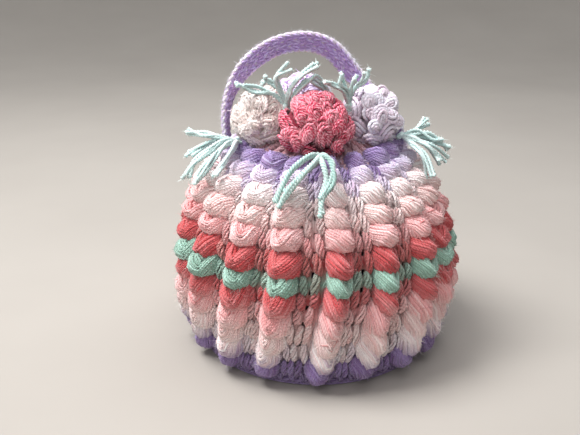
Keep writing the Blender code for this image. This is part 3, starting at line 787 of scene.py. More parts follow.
def rope(yarns, low, high, outward, radius, colour, turns=-1.3, strands=3, spread=1.15, points=9, sag=0.0):
    """Strands twisted round each other from one point to another, drawn in at both ends."""
    rng = yarns.rng
    along = high - low
    out = unit(np.asarray(outward, float))
    side = unit(np.cross(along, out))
    t = np.linspace(0, 1, points)
    phase = TURN * (np.arange(strands)[:, None] / strands + turns * t + rng.uniform())
    wide = spread * radius * (0.25 + 0.75 * np.sin(np.pi * (0.04 + 0.92 * t)) ** 0.8)
    wander = np.cumsum(rng.normal(0, 0.12, (points, 3)), 0)
    line = low + along * t[:, None] + wander - wander.mean(0) + out * (sag * np.sin(np.pi * t))[:, None]
    lines = line + (np.cos(phase) * wide)[..., None] * side + (np.sin(phase) * wide * 0.75)[..., None] * out
    yarns.add(lines, radius * rng.normal(1, 0.07, (strands, 1)), out, colour, ends=(0.6, 0.9))
    return lines


CLOTH_COLUMNS, CLOTH_ROWS = 12, 3  # faces of the cloth to each rib, and up each band of colour
CLOTH_INSET = 0.4  # how far the cloth lies inside its profile
CLOTH_PAINTED_SHADE = 0.85  # the cloth's colour, as a share of its stitches', darker as painted shade
HOLES = (16, 122)  # between these heights, small holes show between the ribs
SLIT_HALF = 1.9  # the cloth is open this many degrees to each side of a slit's middle
LEAST_OPENING = 1.5  # where half of a slit's opening is less, the cloth is closed
FACE_LONG, FACE_ROUND = 2.2, 0.4  # size of one face in the yarn's pattern
CROWN_START, CROWN_END = 150, 155  # place of the crown's last round in the yarn's pattern


def is_open(row, column, azimuth, height):
    """Whether the cloth is open at a face, in a slit or at a small hole."""
    if column % CLOTH_COLUMNS == 0 and row % CLOTH_ROWS == 1 and HOLES[0] < height < HOLES[1]:
        return True
    for slit, (centre, low, high, _) in SLITS.items():
        if low < height < high and abs(off_from(azimuth, centre)) < SLIT_HALF:
            return slit_opening(slit, height) > LEAST_OPENING
    return False


def make_cloth(sizes):
    """The thin cloth under the stitches, with a slit at each side and small holes between the stitches."""
    columns = RIBS * CLOTH_COLUMNS
    heights = []
    for low, high in zip(HEIGHTS, HEIGHTS[1:]):
        heights += [low + (high - low) * k / CLOTH_ROWS for k in range(CLOTH_ROWS)]
    heights = np.array(heights + [TOP])
    azimuth = rib_azimuth(np.arange(columns) / CLOTH_COLUMNS - 0.5)
    co = np.zeros((len(heights), columns, 3))
    for i, height in enumerate(heights):
        point, _, _, out = on_cloth(azimuth, np.full(columns, height))
        co[i] = point - out * CLOTH_INSET
    points = (co.reshape(-1, 3) * MM).tolist()
    points.append((0, 0, (TOP - 0.1) * MM))
    index = np.arange(len(heights) * columns).reshape(len(heights), columns)
    after = np.roll(index, -1, 1)
    faces, uvs = [], []
    for i in range(len(heights) - 1):
        middle = (heights[i] + heights[i + 1]) / 2
        for j in range(columns):
            if is_open(i, j, azimuth[j] + PITCH / CLOTH_COLUMNS / 2, middle):
                continue
            faces.append((int(index[i, j]), int(after[i, j]), int(after[i + 1, j]), int(index[i + 1, j])))
            u, v = FACE_LONG * i, FACE_ROUND * j
            uvs += [(u, v), (u, v + FACE_ROUND), (u + FACE_LONG, v + FACE_ROUND), (u + FACE_LONG, v)]
    for j in range(columns):
        faces.append((int(index[-1, j]), int(after[-1, j]), len(points) - 1))
        v = FACE_ROUND * j
        uvs += [(CROWN_START, v), (CROWN_START, v + FACE_ROUND), (CROWN_END, v)]
    mesh = bpy.data.meshes.new("cloth")
    mesh.from_pydata(points, [], faces)
    rows = np.array([dye(row[YARN]) for row in PROFILE])
    high = np.append(np.repeat(heights, columns), TOP)
    # The cloth under the stitches is darker and has the low tone: painted shade.
    dyes = np.stack([np.interp(high, HEIGHTS, rows[:, c]) for c in range(3)], -1) * CLOTH_PAINTED_SHADE
    made = dressed("cloth", mesh, uvs, dyes, np.full(len(points), PAINTED_SHADE_TONE), soft_yarn())
    thicken(made, sizes.cloth_thickness, -1)
    finish_piece(made, "body_yarn", "cosy_body")


# How unevenly the puffs are worked: height, place across and outwards, size, place of the dimple across and
# up, shade, and roll in degrees. Then the least and most that a dimple has of its listed depth.
UNEVEN = (0.5, 0.4, 0.3, 0.04, 0.12, 0.04, 0.025, 6)
DIMPLE_DEPTHS = (0.7, 1.25)
CORAL_GLOW, CORAL_SHARE = 0.4, 0.55  # how much coral is round a dimple, and in a strand caught there
STANDING, LYING = 2.6, 2.0  # length of the fibres that stand up from a puff and of those that lie on it


def make_ribs(sizes):
    by_height, by_across, by_out, by_size, by_right, by_up, by_shade, by_roll = UNEVEN
    coral = dye("coral")
    thickness = sizes.strand_thickness / MM
    for rib in range(RIBS):
        yarns = Yarns(SEED + rib)
        rng = yarns.rng
        for row, puff in enumerate(PUFFS):
            name, height, width, tall, depth, droop, dimple, right_by, accents, fades, pointed = puff
            height += rng.normal(0, by_height)
            point, right, up, out = on_cloth(rib_azimuth(rib), height)
            point = point + right * rng.normal(0, by_across) + out * rng.normal(0, by_out)
            frame_at = (point, right, up, out)
            full = FULLER.get(rib, 1.0) if height > FULLER_FROM else 1.0
            shape = tuple(size * rng.normal(1, by_size) for size in (width * full, tall, depth))
            across = right_by + DIMPLES.get(rib, 0.0) + rng.normal(0, by_right)
            place = (across, DIMPLE_UP + rng.normal(0, by_up))
            dimple *= rng.uniform(*DIMPLE_DEPTHS)
            own = dye(name) * rng.normal(1, by_shade)
            colours = (own, dye(PUFFS[max(row - 1, 0)][YARN]), fades, coral, CORAL_GLOW * accents)
            lines, colour = work_puff(
                yarns, frame_at, shape, droop, dimple, place, colours,
                thickness, sizes.puff_strands, rng.normal(0, by_roll), pointed,
            )
            yarns.fuzz(lines, sizes.fuzz, STANDING, colour, lying=0.25)
            yarns.fuzz(lines, sizes.fuzz * 2, LYING, colour, width=0.17, lying=0.95, bends=0)
            if rng.uniform() < accents:
                mixed = coral * CORAL_SHARE + own * (1 - CORAL_SHARE)
                caught_strand(yarns, frame_at, shape, droop, dimple, place, mixed)
        finish_piece(yarns.build(f"rib_{rib + 1:02d}", soft_yarn()), "body_yarn")


GROUND_PIECES = 6
ROPE_ROWS = 12  # rows of roped stitches between two ribs
LOW_ROWS = 3  # the lowest of them have three slimmer ropes instead of two
LOW_ROPES, HIGH_ROPES = (-0.15, 0.0, 0.15), (-0.105, 0.115)  # places across the gap, in ribs
LOW_SPREAD, HIGH_SPREAD = 1.45, 1.75  # how far a rope's strands lie from its middle, in their radii
FOOT_DOWN, HEAD_UP, END_STRAY = 0.6, 1.1, 0.9  # how far a rope runs past its row, and how unevenly
FOOT_OUT, HEAD_OUT = 0.5, 0.7  # how far its ends stand off the cloth
# The least and most of each rope's shade, painted shade in the gaps between the ribs that varies at random,
# and of its twist in turns, plumpness and bow off the cloth.
ROPE_SHADE_AND_TONE, ROPE_TURNS, ROPE_PLUMP, ROPE_SAG = (0.78, 0.95), (0.5, 1.0), (0.95, 1.2), (1.1, 2.2)


def make_ground(sizes):
    radius = sizes.ground_thickness / MM / 2
    gaps = RIBS // GROUND_PIECES
    for part in range(GROUND_PIECES):
        yarns = Yarns(SEED * 7 + part)
        rng = yarns.rng
        for gap in range(part * gaps, part * gaps + gaps):
            for i in range(1, ROPE_ROWS + 1):
                low, high = (HEIGHTS[i] + HEIGHTS[i - 1]) / 2, (HEIGHTS[i] + HEIGHTS[i + 1]) / 2
                shares, spread = (LOW_ROPES, LOW_SPREAD) if i <= LOW_ROWS else (HIGH_ROPES, HIGH_SPREAD)
                for share in shares:
                    middle, slant = gap - 0.5 + share + rng.normal(0, 0.014), rng.normal(0.035, 0.03)
                    start, finish = rib_azimuth(middle + slant), rib_azimuth(middle - slant)
                    foot, _, _, foot_out = on_cloth(start, low - FOOT_DOWN + rng.normal(0, END_STRAY))
                    head, _, _, head_out = on_cloth(finish, high + HEAD_UP + rng.normal(0, END_STRAY))
                    mix = rng.uniform(0, 0.25)
                    colour = dye(PROFILE[i][YARN]) * (1 - mix) + dye(PROFILE[i - 1][YARN]) * mix
                    foot, head = foot + foot_out * FOOT_OUT, head + head_out * HEAD_OUT
                    # A rope's colour is darkened at random as painted shade in the gaps between the ribs.
                    lines = rope(
                        yarns, foot, head, foot_out + head_out, radius,
                        colour * rng.uniform(*ROPE_SHADE_AND_TONE), turns=-rng.uniform(*ROPE_TURNS), strands=4,
                        spread=spread * rng.uniform(*ROPE_PLUMP), sag=rng.uniform(*ROPE_SAG),
                    )
                    yarns.fuzz(lines, 8, 1.8, colour)
        finish_piece(yarns.build(f"ground_stitches_{part + 1}", soft_yarn()), "body_yarn")


HEM_RADIUS = 75.6  # of the edge's cords
HEM_CORDS = ((1.3, 0.2), (3.2, 0.6))  # the edge's twisted cords: height, how much wider than the hem's radius
HEM_TURNS = 60  # turns of a cord's plies round the hem
HEM_ROUNDS = ((3.0, 8.6), (7.4, 13.0))  # foot and head of each round of stitches
HEM_STITCHES = 66  # stitches in a round
HEM_PAINTED_SHADE = 0.75  # the hem's colour, as a share of the purple: painted shade
PLY_OUT, PLY_RADIUS = 0.75, 0.85  # how far a cord's three plies lie from its middle, and how thick they are
HEM_SPREAD = 1.9  # half the distance between the heads of a stitch's two legs


def make_hem():
    yarns = Yarns(SEED * 11)
    rng = yarns.rng
    # The hem is the same purple, darkened as painted shade.
    purple = dye("purple") * HEM_PAINTED_SHADE
    for height, out_by in HEM_CORDS:
        turn = np.linspace(0, TURN, 181)[:-1]
        for ply in range(3):
            phase = TURN * ply / 3 + turn * HEM_TURNS
            radius = HEM_RADIUS + out_by + PLY_OUT * np.cos(phase)
            rise = height + PLY_OUT * np.sin(phase)
            line = np.stack([radius * np.cos(turn), radius * np.sin(turn), rise], -1)
            line = np.concatenate([line, line[:2]])[None]
            yarns.add(line, PLY_RADIUS, (0, 0, 1), purple, ends=())
    for round_number, (low, high) in enumerate(HEM_ROUNDS):
        for i in range(HEM_STITCHES):
            azimuth = (i + 0.5 * round_number) * 360 / HEM_STITCHES + rng.normal(0, 0.3)
            foot, right, _, out = on_cloth(azimuth, low)
            head, _, _, _ = on_cloth(azimuth, high)
            for side in (-1, 1):
                top = head + right * side * HEM_SPREAD + out * 0.9
                rope(yarns, foot + out * 1.1, top, out, 0.8, purple, turns=0.5, strands=2, points=6, sag=0.7)
    finish_piece(yarns.build("hem_stitches", soft_yarn()), "body_yarn")


# The crown's rounds: foot, head, stitches in the round.
CROWN_ROUNDS = ((126.0, 133.2, 36), (132.4, 137.6, 30), (136.8, 140.2, 18), (139.6, 141.0, 9))
CROWN_SLANT = 3  # degrees from a stitch's foot round to its head


def make_crown():
    yarns = Yarns(SEED * 13)
    rng = yarns.rng
    crown = dye("crown")
    for low, high, count in CROWN_ROUNDS:
        for i in range(count):
            azimuth = (i + 0.5) * 360 / count + rng.normal(0, 1.0)
            foot, _, _, out = on_cloth(azimuth, low)
            head, _, _, head_out = on_cloth(azimuth + CROWN_SLANT, high)
            colour = crown * rng.uniform(0.8, 1.0)
            rope(yarns, foot + out * 0.6, head + head_out * 0.6, out, 1.15, colour, turns=-1.2)
    finish_piece(yarns.build("crown_stitches", soft_yarn()), "body_yarn")


STRAP_ROWS = 46
STRAP_STEPS = STRAP_ROWS * 3 + 1  # points along the strap's middle line
BAND_EDGES = (-1.0, -0.42, -0.2, 0.2, 0.42, 1.0)  # edges of its faces across, in half widths of the band
BAND_WIDTH, BAND_THICKNESS = 0.9, 0.55  # the band's size, as a share of the strap's
BAND_CLOSED = 7  # no holes in this many rows of faces at each end of the band


def strap_frames(steps):
    """Points along the strap with its directions: along, across and through."""
    knots = np.array(STRAP_LINE, float)[None]
    line = smooth_lines(knots, 40)[0]
    length = np.concatenate([[0], np.cumsum(np.linalg.norm(np.diff(line[:, :2], axis=0), axis=1))])
    at = np.linspace(0, length[-1], steps)
    x, z, turn = (np.interp(at, length, line[:, i]) for i in range(3))
    point = np.stack([x, np.full(steps, STRAP_Y), z], -1)
    along = unit(np.gradient(point, axis=0))
    outwards = np.cross(along, (0.0, -1.0, 0.0))
    turn, none = np.radians(turn)[:, None], np.zeros((steps, 1))
    across = np.concatenate([none, -np.cos(turn), none], 1) - outwards * np.sin(turn)
    return point, along, across, np.cross(along, across)


def make_band(sizes):
    """The strap's band, open at a small hole in each row, to the left and right in turn."""
    point, _, across, _ = strap_frames(STRAP_STEPS)
    edges = np.array(BAND_EDGES) * sizes.strap_width / MM / 2 * BAND_WIDTH
    co = point[:, None] + across[:, None] * edges[:, None]
    index = np.arange(STRAP_STEPS * len(edges)).reshape(STRAP_STEPS, len(edges))
    faces, uvs = [], []
    for i in range(STRAP_STEPS - 1):
        hole = 1 if (i // 3) % 2 else 3
        for j in range(len(edges) - 1):
            if i % 3 == 1 and j == hole and BAND_CLOSED <= i < STRAP_STEPS - BAND_CLOSED:
                continue
            near, far = index[i, j : j + 2].tolist(), index[i + 1, j : j + 2].tolist()
            faces.append((*near, *far[::-1]))
            v = FACE_ROUND * j
            uvs += [(i, v), (i, v + FACE_ROUND), (i + 1, v + FACE_ROUND), (i + 1, v)]
    mesh = bpy.data.meshes.new("strap_band")
    mesh.from_pydata((co.reshape(-1, 3) * MM).tolist(), [], faces)
    count = index.size
    # The band under the stitches has the low tone: painted shade.
    dyes, tones = np.tile(dye("strap"), (count, 1)), np.full(count, PAINTED_SHADE_TONE)
    band = dressed("strap_band", mesh, uvs, dyes, tones, soft_yarn())
    thicken(band, sizes.strap_thickness * BAND_THICKNESS, 0)
    finish_piece(band, "purple_yarn", "strap")


STRAP_COLUMNS = (-0.66, 0.0, 0.66)  # middles of the stitches across the strap, in half widths
NUBS = (-0.3, 0.34)  # places of the pale nubs across it, in even and odd rows
LEG_SPREAD = 0.26  # how far the two legs of a stitch stand from its middle, in half widths
LEG_RADIUS, NUB_RADIUS, EDGE_RADIUS = 0.75, 0.48, 0.95
STRAP_FIBRES, EDGE_FIBRES = 500, 1200  # on each face, and twice over on each edge


def make_strap(sizes):
    make_band(sizes)
    half = sizes.strap_width / MM / 2
    thick = sizes.strap_thickness / MM / 2
    point, _, across, through = strap_frames(STRAP_STEPS)
    yarns = Yarns(SEED * 17)
    rng = yarns.rng
    # The pale edge colour is partly a painted highlight on the strap's edges.
    colour, pale = dye("strap"), dye("strap_edge")

    def spot(step, wide, deep):
        """Points on the strap at a place along it, across it and through it."""
        step = np.clip(step, 0, STRAP_STEPS - 1)
        low = np.minimum(np.floor(step).astype(int), STRAP_STEPS - 2)
        part = (step - low)[..., None]
        parts = [a[low] * (1 - part) + a[low + 1] * part for a in (point, across, through)]
        return parts[0] + parts[1] * np.asarray(wide)[..., None] + parts[2] * np.asarray(deep)[..., None]

    t = np.linspace(0, 1, 6)
    bump = np.linspace(-0.22, 0.22, 3)
    for face in (-1, 1):
        lines = []
        for row in range(STRAP_ROWS):
            for middle in STRAP_COLUMNS:
                for side in (-1, 1):
                    wide = half * (middle + side * LEG_SPREAD * (1 - t) ** 0.8) + rng.normal(0, 0.12)
                    deep = face * (thick * 0.45 + 0.5 * np.sin(np.pi * (0.1 + 0.8 * t)))
                    rise = row + 0.95 - 1.15 * t if face < 0 else row + 0.05 + 1.15 * t
                    lines.append(spot(rise * 3 + rng.normal(0, 0.1), wide, deep))
        lines = np.array(lines)
        outward = np.broadcast_to(through.mean(0) * face, lines.shape)
        mix = rng.uniform(0, 0.25, (len(lines), 1, 1))
        radii = LEG_RADIUS * rng.normal(1, 0.08, (len(lines), 1))
        yarns.add(lines, radii, outward, colour * (1 - mix) + pale * mix)
        yarns.fuzz(lines, STRAP_FIBRES, 1.6, pale)
        deep = np.full(3, face * (thick * 0.45 + 0.75))
        nubs = [spot((row + 0.5 + bump) * 3, half * NUBS[row % 2], deep) for row in range(2, STRAP_ROWS - 2)]
        yarns.add(np.array(nubs), NUB_RADIUS, outward[0, 0], pale)
    swell = np.linspace(-0.75, 0.75, 7)
    for side in (-1, 1):
        wide = side * half * (0.84 + 0.16 * np.cos(swell * 2.1))
        deep = 0.5 * np.sin(swell * 4)
        lines = np.array([spot((row + 0.5 + swell) * 3, wide, deep) for row in range(STRAP_ROWS)])
        yarns.add(lines, EDGE_RADIUS, through.mean(0), pale, sides=5)
        yarns.fuzz(lines, EDGE_FIBRES, 1.7, pale)
        yarns.fuzz(lines, EDGE_FIBRES, 1.2, pale, width=0.2, lying=0.8, bends=0)
    finish_piece(yarns.build("strap_stitches", soft_yarn()), "purple_yarn")


LOOPS = 1.3  # loops in a petal for each thickness of yarn in its size
LOOP_POINTS = 2.4  # points of a loop for each millimetre of its petal's size
LOOP_SWEEP = 1.7  # how far a loop turns to each side of its tip, in radians
PETAL_FOOT = 0.7  # how far below its middle a petal's foot is, as a share of its size
PETAL_DOME, PETAL_CURL = 0.84, 0.3  # how far its middle stands out, and how far its feet turn in
BALL = np.array([0.75, 0.75, 0.56])  # half sizes of the ball under it, as shares of its size


def work_petal(yarns, spot, up, out, size, thickness, colour, fuzz, kind):
    """One petal: plump nested loops of yarn from its foot."""
    rng = yarns.rng
    right = unit(np.cross(up, out))
    up = np.cross(out, right)
    arches = max(3, round(LOOPS * size / thickness))
    share = ((np.arange(arches) + 0.6) / (arches + 0.1) + rng.normal(0, 0.02, arches))[:, None]
    t = np.linspace(-1, 1, max(9, round(size * LOOP_POINTS)))
    turn = t * LOOP_SWEEP + rng.normal(0, 0.1, (arches, 1)) + rng.normal(0, 0.12)
    wide, tilt, bend = rng.uniform(1.0, 1.2) * kind.width, rng.uniform(0.1, 0.35), rng.normal(0, 0.12)
    x = size * wide * share * np.sin(turn) * (1 - kind.drawn_in * t**4)
    y = (0.45 + 1.1 * share) * np.cos(turn) * rng.normal(1, 0.04, (arches, 1)) - PETAL_FOOT
    y = size * kind.length * y
    x = x + bend * (y + 0.5 * size) ** 2 / size
    z = PETAL_DOME * np.sqrt(1 - 0.94 * np.minimum(share, 1) ** 2) - PETAL_CURL * t**4
    z = size * z + tilt * y
    z = z + rng.normal(0, 0.14 * thickness, (arches, 1))
    lines = spot + x[..., None] * right + y[..., None] * up + z[..., None] * out
    lines = lines + rng.normal(0, kind.uneven, lines.shape)
    # Loops vary at random in colour, and the inner ones are darker as painted shade at the petal's foot.
    shade = colour * (1 + rng.uniform(-0.1, 0.1, (arches, 1, 1))) * (0.82 + 0.18 * share[..., None])
    radii = thickness / 2 * rng.normal(1.08, 0.05, (arches, 1))
    yarns.add(lines, radii, out, shade, sides=kind.sides, twisted=kind is KINDS["plied"])
    co, quads = dome(size * kind.ball * BALL, 0.0, (0, 0), rings=3, sides=8)
    tilted = co[:, 2:] + tilt * co[:, 1:2]
    co = spot + co[:, :1] * right + co[:, 1:2] * up + tilted * out
    # The ball under the loops is darker: painted shade.
    yarns.core(co, quads, colour * kind.ball_shade)
    yarns.fuzz(lines, fuzz, 1.7, colour, kind.fibre)
    yarns.fuzz(lines, fuzz, 1.3, colour, kind.fibre, lying=0.95, bends=0)


def flower_axes(azimuth, tilt):
    """Right, up and out of a face turned to an azimuth and tilted up."""
    turn, tilt = math.radians(azimuth), math.radians(tilt)
    right = np.array([-math.sin(turn), math.cos(turn), 0.0])
    front = np.array([math.cos(turn) * math.cos(tilt), math.sin(turn) * math.cos(tilt), math.sin(tilt)])
    return np.array([right, np.cross(front, right), front])


FILLS = (0.36, 0.25)  # sizes of the petals in the gaps, as shares of the flower's mean half size
FILL_PLACES = 90  # places tried for each size of them, on a spiral
PETAL_SEAT = 0.68  # how deep a petal sits in its flower, as a share of its size


def make_flower(name):
    yarn_name = name.removeprefix("flower_")
    (azimuth, out_by, height, *half, tilt), face, petals = FLOWERS[name]
    thickness, bigger, fuzz, taper, kind_name = PETALS[name]
    kind = KINDS[kind_name]
    colour = dye("flower_peach" if yarn_name == "peach" else yarn_name)
    centre, half, axes = polar(azimuth, out_by, height), np.array(half), flower_axes(azimuth, tilt)
    tall = half[1]
    yarns = Yarns(SEED * 19 + sorted(FLOWERS).index(name))
    rng = yarns.rng
    look = flower_axes(*face)
    into = (look @ axes.T) / half  # the face's directions, where the flower is a unit ball
    depth = into[2] @ into[2]
    worked = []  # each petal's place on the unit ball, size, turn, lift and lean towards the face
    for right, up, size, turn in petals:
        flat = right * into[0] + up * into[1]
        along, short = flat @ into[2], flat @ flat
        deep = (-along + math.sqrt(max(0.0, along**2 - depth * (short - 1)))) / depth
        worked.append((unit(flat + deep * into[2]), size * bigger, turn, rng.uniform(0.0, 3.0), 0.5))
    for fill in (half.mean() * share for share in FILLS):
        for i in range(FILL_PLACES):
            z = 1 - 1.75 * (i + 0.5) / FILL_PLACES
            level = math.sqrt(1 - z * z)
            ball = np.array([math.cos(i * 2.4) * level, math.sin(i * 2.4) * level, z])
            gaps = [np.linalg.norm((ball - other) * half) / (fill + size) for other, size, *_ in worked]
            if min(gaps) > kind.spacing:
                worked.append((ball, fill * rng.uniform(0.9, 1.15), rng.uniform(-25, 25), -0.4, 0.0))
    foot = centre - look[1] * tall * 0.75
    for ball, size, turn, lift, lean in worked:
        out = unit(unit((ball / half) @ axes) + lean * look[2])
        spot = (ball * (half - size * PETAL_SEAT + lift)) @ axes
        spot = centre + spot - (spot @ look[0]) * look[0] * taper * (0.5 + 0.5 * (spot @ look[1]) / tall)
        up = unit(spot - foot)
        up = unit(up - (up @ out) * out)
        turn = math.radians(turn + rng.normal(0, 14))
        up = up * math.cos(turn) + np.cross(out, up) * math.sin(turn)
        work_petal(yarns, spot, up, out, size, thickness, colour, fuzz, kind)
    co, quads = dome(half * kind.core, 0.0, (0, 0), rings=6, sides=16)
    # The flower's core is darker: painted shade.
    yarns.core(co @ axes + centre, quads, colour * kind.core_shade)
    material = {"plied": plied_yarn, "fluffy": fluffy_yarn, "soft": soft_yarn}[kind_name]()
    finish_piece(yarns.build(f"{name}_petals", material), f"{yarn_name}_yarn", name)


KNOT_LOOPS, KNOT_RADIUS = 6, 1.5
FLARE, FLARE_FROM = 0.3, 2.5  # how much a cut end opens out, and how far from it that starts


def make_sprig(name, sizes):
    yarns = Yarns(SEED * 23 + sorted(SPRIGS).index(name))
    rng = yarns.rng
    knot, *strands = SPRIGS[name]
    shade, plumper, stray = SPRIG_LOOKS.get(name, SPRIG_LOOKS["others"])
    # The front sprig's darker share is painted shade on the same leaf yarn.
    root, leaf = polar(*knot), dye("leaf") * shade
    thick = sizes.leaf_thickness / MM / 2 * plumper
    for strand in [strand for strand in strands for _ in range(3 if name in FULL_SPRIGS else 2)]:
        points = np.array([root, *(polar(*point) for point in strand)])
        strays = rng.normal(0, stray, (len(points) - 1, 3))
        points[1:] += strays * np.linspace(0.6, 1.6, len(points) - 1)[:, None]
        points[0] -= unit(points[1] - points[0]) * 3.0 + (0, 0, 1.0)
        line = smooth_lines(points[None], 12)[0]
        length = np.concatenate([[0], np.cumsum(np.linalg.norm(np.diff(line, axis=0), axis=1))])
        steps = max(12, int(length[-1] / 0.6))
        at = np.linspace(0, length[-1], steps)
        line = np.stack([np.interp(at, length, line[:, i]) for i in range(3)], -1)[None]
        flare = 1 + FLARE * np.clip((at - length[-1] + FLARE_FROM) / FLARE_FROM, 0, 1)
        radii = thick * flare * rng.normal(1, 0.06)
        yarns.add(line, radii, (0.2, 0.1, 1.0), leaf, sides=6, ends=(0.8,), twisted=True)
        yarns.fuzz(line, 60, 1.5, leaf)
        yarns.fuzz(line[:, -6:], 24, 2.0, leaf)
    for _ in range(KNOT_LOOPS):
        turn = unit(rng.normal(0, 1, 3))
        other = unit(np.cross(turn, rng.normal(0, 1, 3)))
        angle = np.linspace(0, TURN * 0.8, 10)
        ring = root + KNOT_RADIUS * (np.cos(angle)[:, None] * turn + np.sin(angle)[:, None] * other)
        yarns.add(ring[None], 1.0, np.cross(turn, other), leaf, sides=5)
    finish_piece(yarns.build(f"{name}_sprig", plied_yarn()), "mint_yarn", name)


# ---------------------------------------------------------------- stage

FLOOR_RADIUS, SWEEP_RADIUS, SWEEP_STEPS = 1.1, 1.3, 8  # the flat floor, and the sweep from it up to a wall
FLOOR_COLOURS = ((0.63, 0.61, 0.585), (0.67, 0.65, 0.625))
ROOM_COLOUR, ROOM_STRENGTH = (0.86, 0.90, 0.97, 1), 0.22
# Lamps: name, place, size, watts, colour.
LAMPS = (
    ("window", (-0.6, -0.05, 1.25), 0.6, 26.5, (1.0, 0.99, 0.98)),
    ("sky", (0.2, 0.15, 1.35), 1.2, 11, (0.98, 0.98, 1.0)),
    ("fill", (-0.35, -1.1, 0.9), 0.9, 5.5, (1.0, 0.98, 0.97)),
)
LAMPS_AIM = (0, 0, 0.08)
SENSOR, LENS = 36, 46.55
CAMERA_AZIMUTH, CAMERA_ELEVATION, CAMERA_DISTANCE = -97.7, 21.2, 0.506
CAMERA_AIM = (0, 0, 0.072)  # the point that the camera's distance is measured from
AIM_LEFT, AIM_UP = 25 / 750, 13 / 750  # how far the camera looks to the left of that point and over it


def make_floor():
    """A round floor that sweeps up into a wall."""
    bpy.ops.object.select_all(action="DESELECT")
    circle = {"vertices": 96, "radius": FLOOR_RADIUS, "fill_type": "NGON", "location": (0, 0, 0)}
    bpy.ops.mesh.primitive_circle_add(**circle)
    floor = bpy.context.object
    floor.name = "floor"
    bpy.ops.object.mode_set(mode="EDIT")
    bpy.ops.mesh.select_mode(type="FACE")
    for i in range(SWEEP_STEPS):
        before, bend = i / SWEEP_STEPS * math.pi / 2, (i + 1) / SWEEP_STEPS * math.pi / 2
        inner, outer = (FLOOR_RADIUS + SWEEP_RADIUS * math.sin(turn) for turn in (before, bend))
        bpy.ops.mesh.extrude_region_move()
        bpy.ops.transform.resize(value=(outer / inner, outer / inner, 1))
        bpy.ops.transform.translate(value=(0, 0, SWEEP_RADIUS * (math.cos(before) - math.cos(bend))))
    bpy.ops.mesh.delete(type="ONLY_FACE")
    bpy.ops.mesh.select_all(action="SELECT")
    bpy.ops.mesh.normals_make_consistent(inside=True)
    bpy.ops.object.mode_set(mode="OBJECT")
    bpy.ops.mesh.primitive_circle_add(**circle)
    select_only(bpy.context.object, floor)
    bpy.ops.object.join()
    bpy.ops.object.mode_set(mode="EDIT")
    bpy.ops.mesh.select_all(action="SELECT")
    bpy.ops.mesh.remove_doubles(threshold=0.0005)
    bpy.ops.object.mode_set(mode="OBJECT")
    bpy.ops.object.shade_smooth()
    floor.data.materials.append(pale_floor())


def pale_floor():
    material = bpy.data.materials.new("pale_floor")
    material.use_nodes = True
    tree = material.node_tree
    shader = tree.nodes["Principled BSDF"]
    place = add_node(tree, "ShaderNodeTexCoord").outputs["Object"]
    nap = add_node(tree, "ShaderNodeTexNoise", {"Vector": place, "Scale": 6.0, "Detail": 3.0})
    ramp = add_node(tree, "ShaderNodeValToRGB", {0: nap.outputs[0]})
    for stop, colour in zip(ramp.color_ramp.elements, FLOOR_COLOURS):
        stop.color = (*screen(*colour), 1)
    tree.links.new(ramp.outputs[0], shader.inputs["Base Color"])
    shader.inputs["Roughness"].default_value = 0.9
    shader.inputs["Specular IOR Level"].default_value = 0.1
    return material


def make_lamps():
    scene = bpy.context.scene
    world = bpy.data.worlds.new("soft_studio")
    world.use_nodes = True
    room = world.node_tree.nodes["Background"]
    room.inputs["Color"].default_value = ROOM_COLOUR
    room.inputs["Strength"].default_value = ROOM_STRENGTH
    scene.world = world
    for name, place, size, power, colour in LAMPS:
        lamp = bpy.data.lights.new(name, "AREA")
        lamp.size, lamp.energy, lamp.color = size, power, colour
        holder = bpy.data.objects.new(name, lamp)
        scene.collection.objects.link(holder)
        holder.location = place
        holder.rotation_euler = (Vector(LAMPS_AIM) - Vector(place)).to_track_quat("-Z", "Y").to_euler()


def make_camera():
    scene = bpy.context.scene
    lens = bpy.data.cameras.new("camera")
    camera = bpy.data.objects.new("camera", lens)
    scene.collection.objects.link(camera)
    scene.camera = camera
    lens.sensor_width, lens.lens = SENSOR, LENS
    turn, rise = math.radians(CAMERA_AZIMUTH), math.radians(CAMERA_ELEVATION)
    back = Vector((math.cos(turn) * math.cos(rise), math.sin(turn) * math.cos(rise), math.sin(rise)))
    right = (-back).cross(Vector((0, 0, 1))).normalized()
    up = right.cross(-back)
    look = (-back - right * AIM_LEFT + up * AIM_UP).normalized()
    camera.location = Vector(CAMERA_AIM) + back * CAMERA_DISTANCE
    camera.rotation_euler = look.to_track_quat("-Z", "Y").to_euler()


def make_stage():
    bpy.context.scene.view_settings.view_transform = "Standard"
    make_floor()
    make_lamps()
    make_camera()


# ---------------------------------------------------------------- add-on


class COSY_OT_cloth(bpy.types.Operator):
    """Work the cloth under the stitches"""

    bl_idname = "cosy.cloth"
    bl_label = "Cloth"

    def execute(self, context):
        make_cloth(context.scene.cosy_sizes)
        return {"FINISHED"}


class COSY_OT_ribs(bpy.types.Operator):
    """Work the ribs of puff stitches"""

    bl_idname = "cosy.ribs"
    bl_label = "Ribs of puffs"

    def execute(self, context):
        make_ribs(context.scene.cosy_sizes)
        return {"FINISHED"}


class COSY_OT_ground(bpy.types.Operator):
    """Work the plain stitches between the ribs"""

    bl_idname = "cosy.ground"
    bl_label = "Ground stitches"

    def execute(self, context):
        make_ground(context.scene.cosy_sizes)
        return {"FINISHED"}


class COSY_OT_hem(bpy.types.Operator):
    """Work the hem"""

    bl_idname = "cosy.hem"
    bl_label = "Hem"

    def execute(self, context):
        make_hem()
        return {"FINISHED"}


class COSY_OT_crown(bpy.types.Operator):
    """Gather the crown under the flowers"""

    bl_idname = "cosy.crown"
    bl_label = "Crown"

    def execute(self, context):
        make_crown()
        return {"FINISHED"}


class COSY_OT_strap(bpy.types.Operator):
    """Work the carrying strap"""

    bl_idname = "cosy.strap"
    bl_label = "Strap"

    def execute(self, context):
        make_strap(context.scene.cosy_sizes)
        return {"FINISHED"}


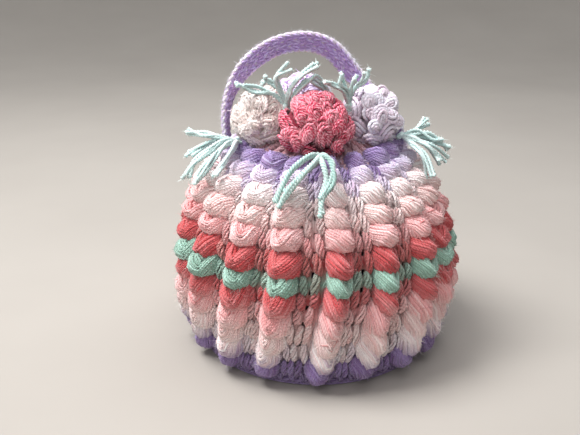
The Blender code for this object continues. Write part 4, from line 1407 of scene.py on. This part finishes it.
class COSY_OT_flowers(bpy.types.Operator):
    """Work the four flowers"""

    bl_idname = "cosy.flowers"
    bl_label = "Flowers"

    def execute(self, context):
        for name in FLOWERS:
            make_flower(name)
        return {"FINISHED"}


class COSY_OT_sprigs(bpy.types.Operator):
    """Tie the sprigs of yarn leaves"""

    bl_idname = "cosy.sprigs"
    bl_label = "Leaves"

    def execute(self, context):
        for name in SPRIGS:
            make_sprig(name, context.scene.cosy_sizes)
        return {"FINISHED"}


class COSY_OT_stage(bpy.types.Operator):
    """Set the floor, the lights and the camera"""

    bl_idname = "cosy.stage"
    bl_label = "Stage"

    def execute(self, context):
        make_stage()
        return {"FINISHED"}


OPERATORS = (
    COSY_OT_cloth,
    COSY_OT_ribs,
    COSY_OT_ground,
    COSY_OT_hem,
    COSY_OT_crown,
    COSY_OT_strap,
    COSY_OT_flowers,
    COSY_OT_sprigs,
    COSY_OT_stage,
)


class COSY_PT_panel(bpy.types.Panel):
    """Lists the cosy's pieces, sizes and yarns"""

    bl_idname = "COSY_PT_panel"
    bl_label = "Tea cosy"
    bl_space_type = "VIEW_3D"
    bl_region_type = "UI"
    bl_category = "Tea cosy"

    def draw(self, context):
        for group in (context.scene.cosy_sizes, context.scene.cosy_yarns):
            for name in group.__annotations__:
                self.layout.prop(group, name)
        for operator in OPERATORS:
            self.layout.operator(operator.bl_idname)


CLASSES = (COSY_PG_sizes, COSY_PG_yarns, *OPERATORS, COSY_PT_panel)


def register():
    for made in CLASSES:
        bpy.utils.register_class(made)
    bpy.types.Scene.cosy_sizes = PointerProperty(type=COSY_PG_sizes)
    bpy.types.Scene.cosy_yarns = PointerProperty(type=COSY_PG_yarns)


def unregister():
    del bpy.types.Scene.cosy_yarns
    del bpy.types.Scene.cosy_sizes
    for made in reversed(CLASSES):
        bpy.utils.unregister_class(made)


def main():
    register()
    bpy.ops.cosy.cloth()
    bpy.ops.cosy.ribs()
    bpy.ops.cosy.ground()
    bpy.ops.cosy.hem()
    bpy.ops.cosy.crown()
    bpy.ops.cosy.strap()
    bpy.ops.cosy.flowers()
    bpy.ops.cosy.sprigs()
    bpy.ops.cosy.stage()


if __name__ == "__main__":
    main()
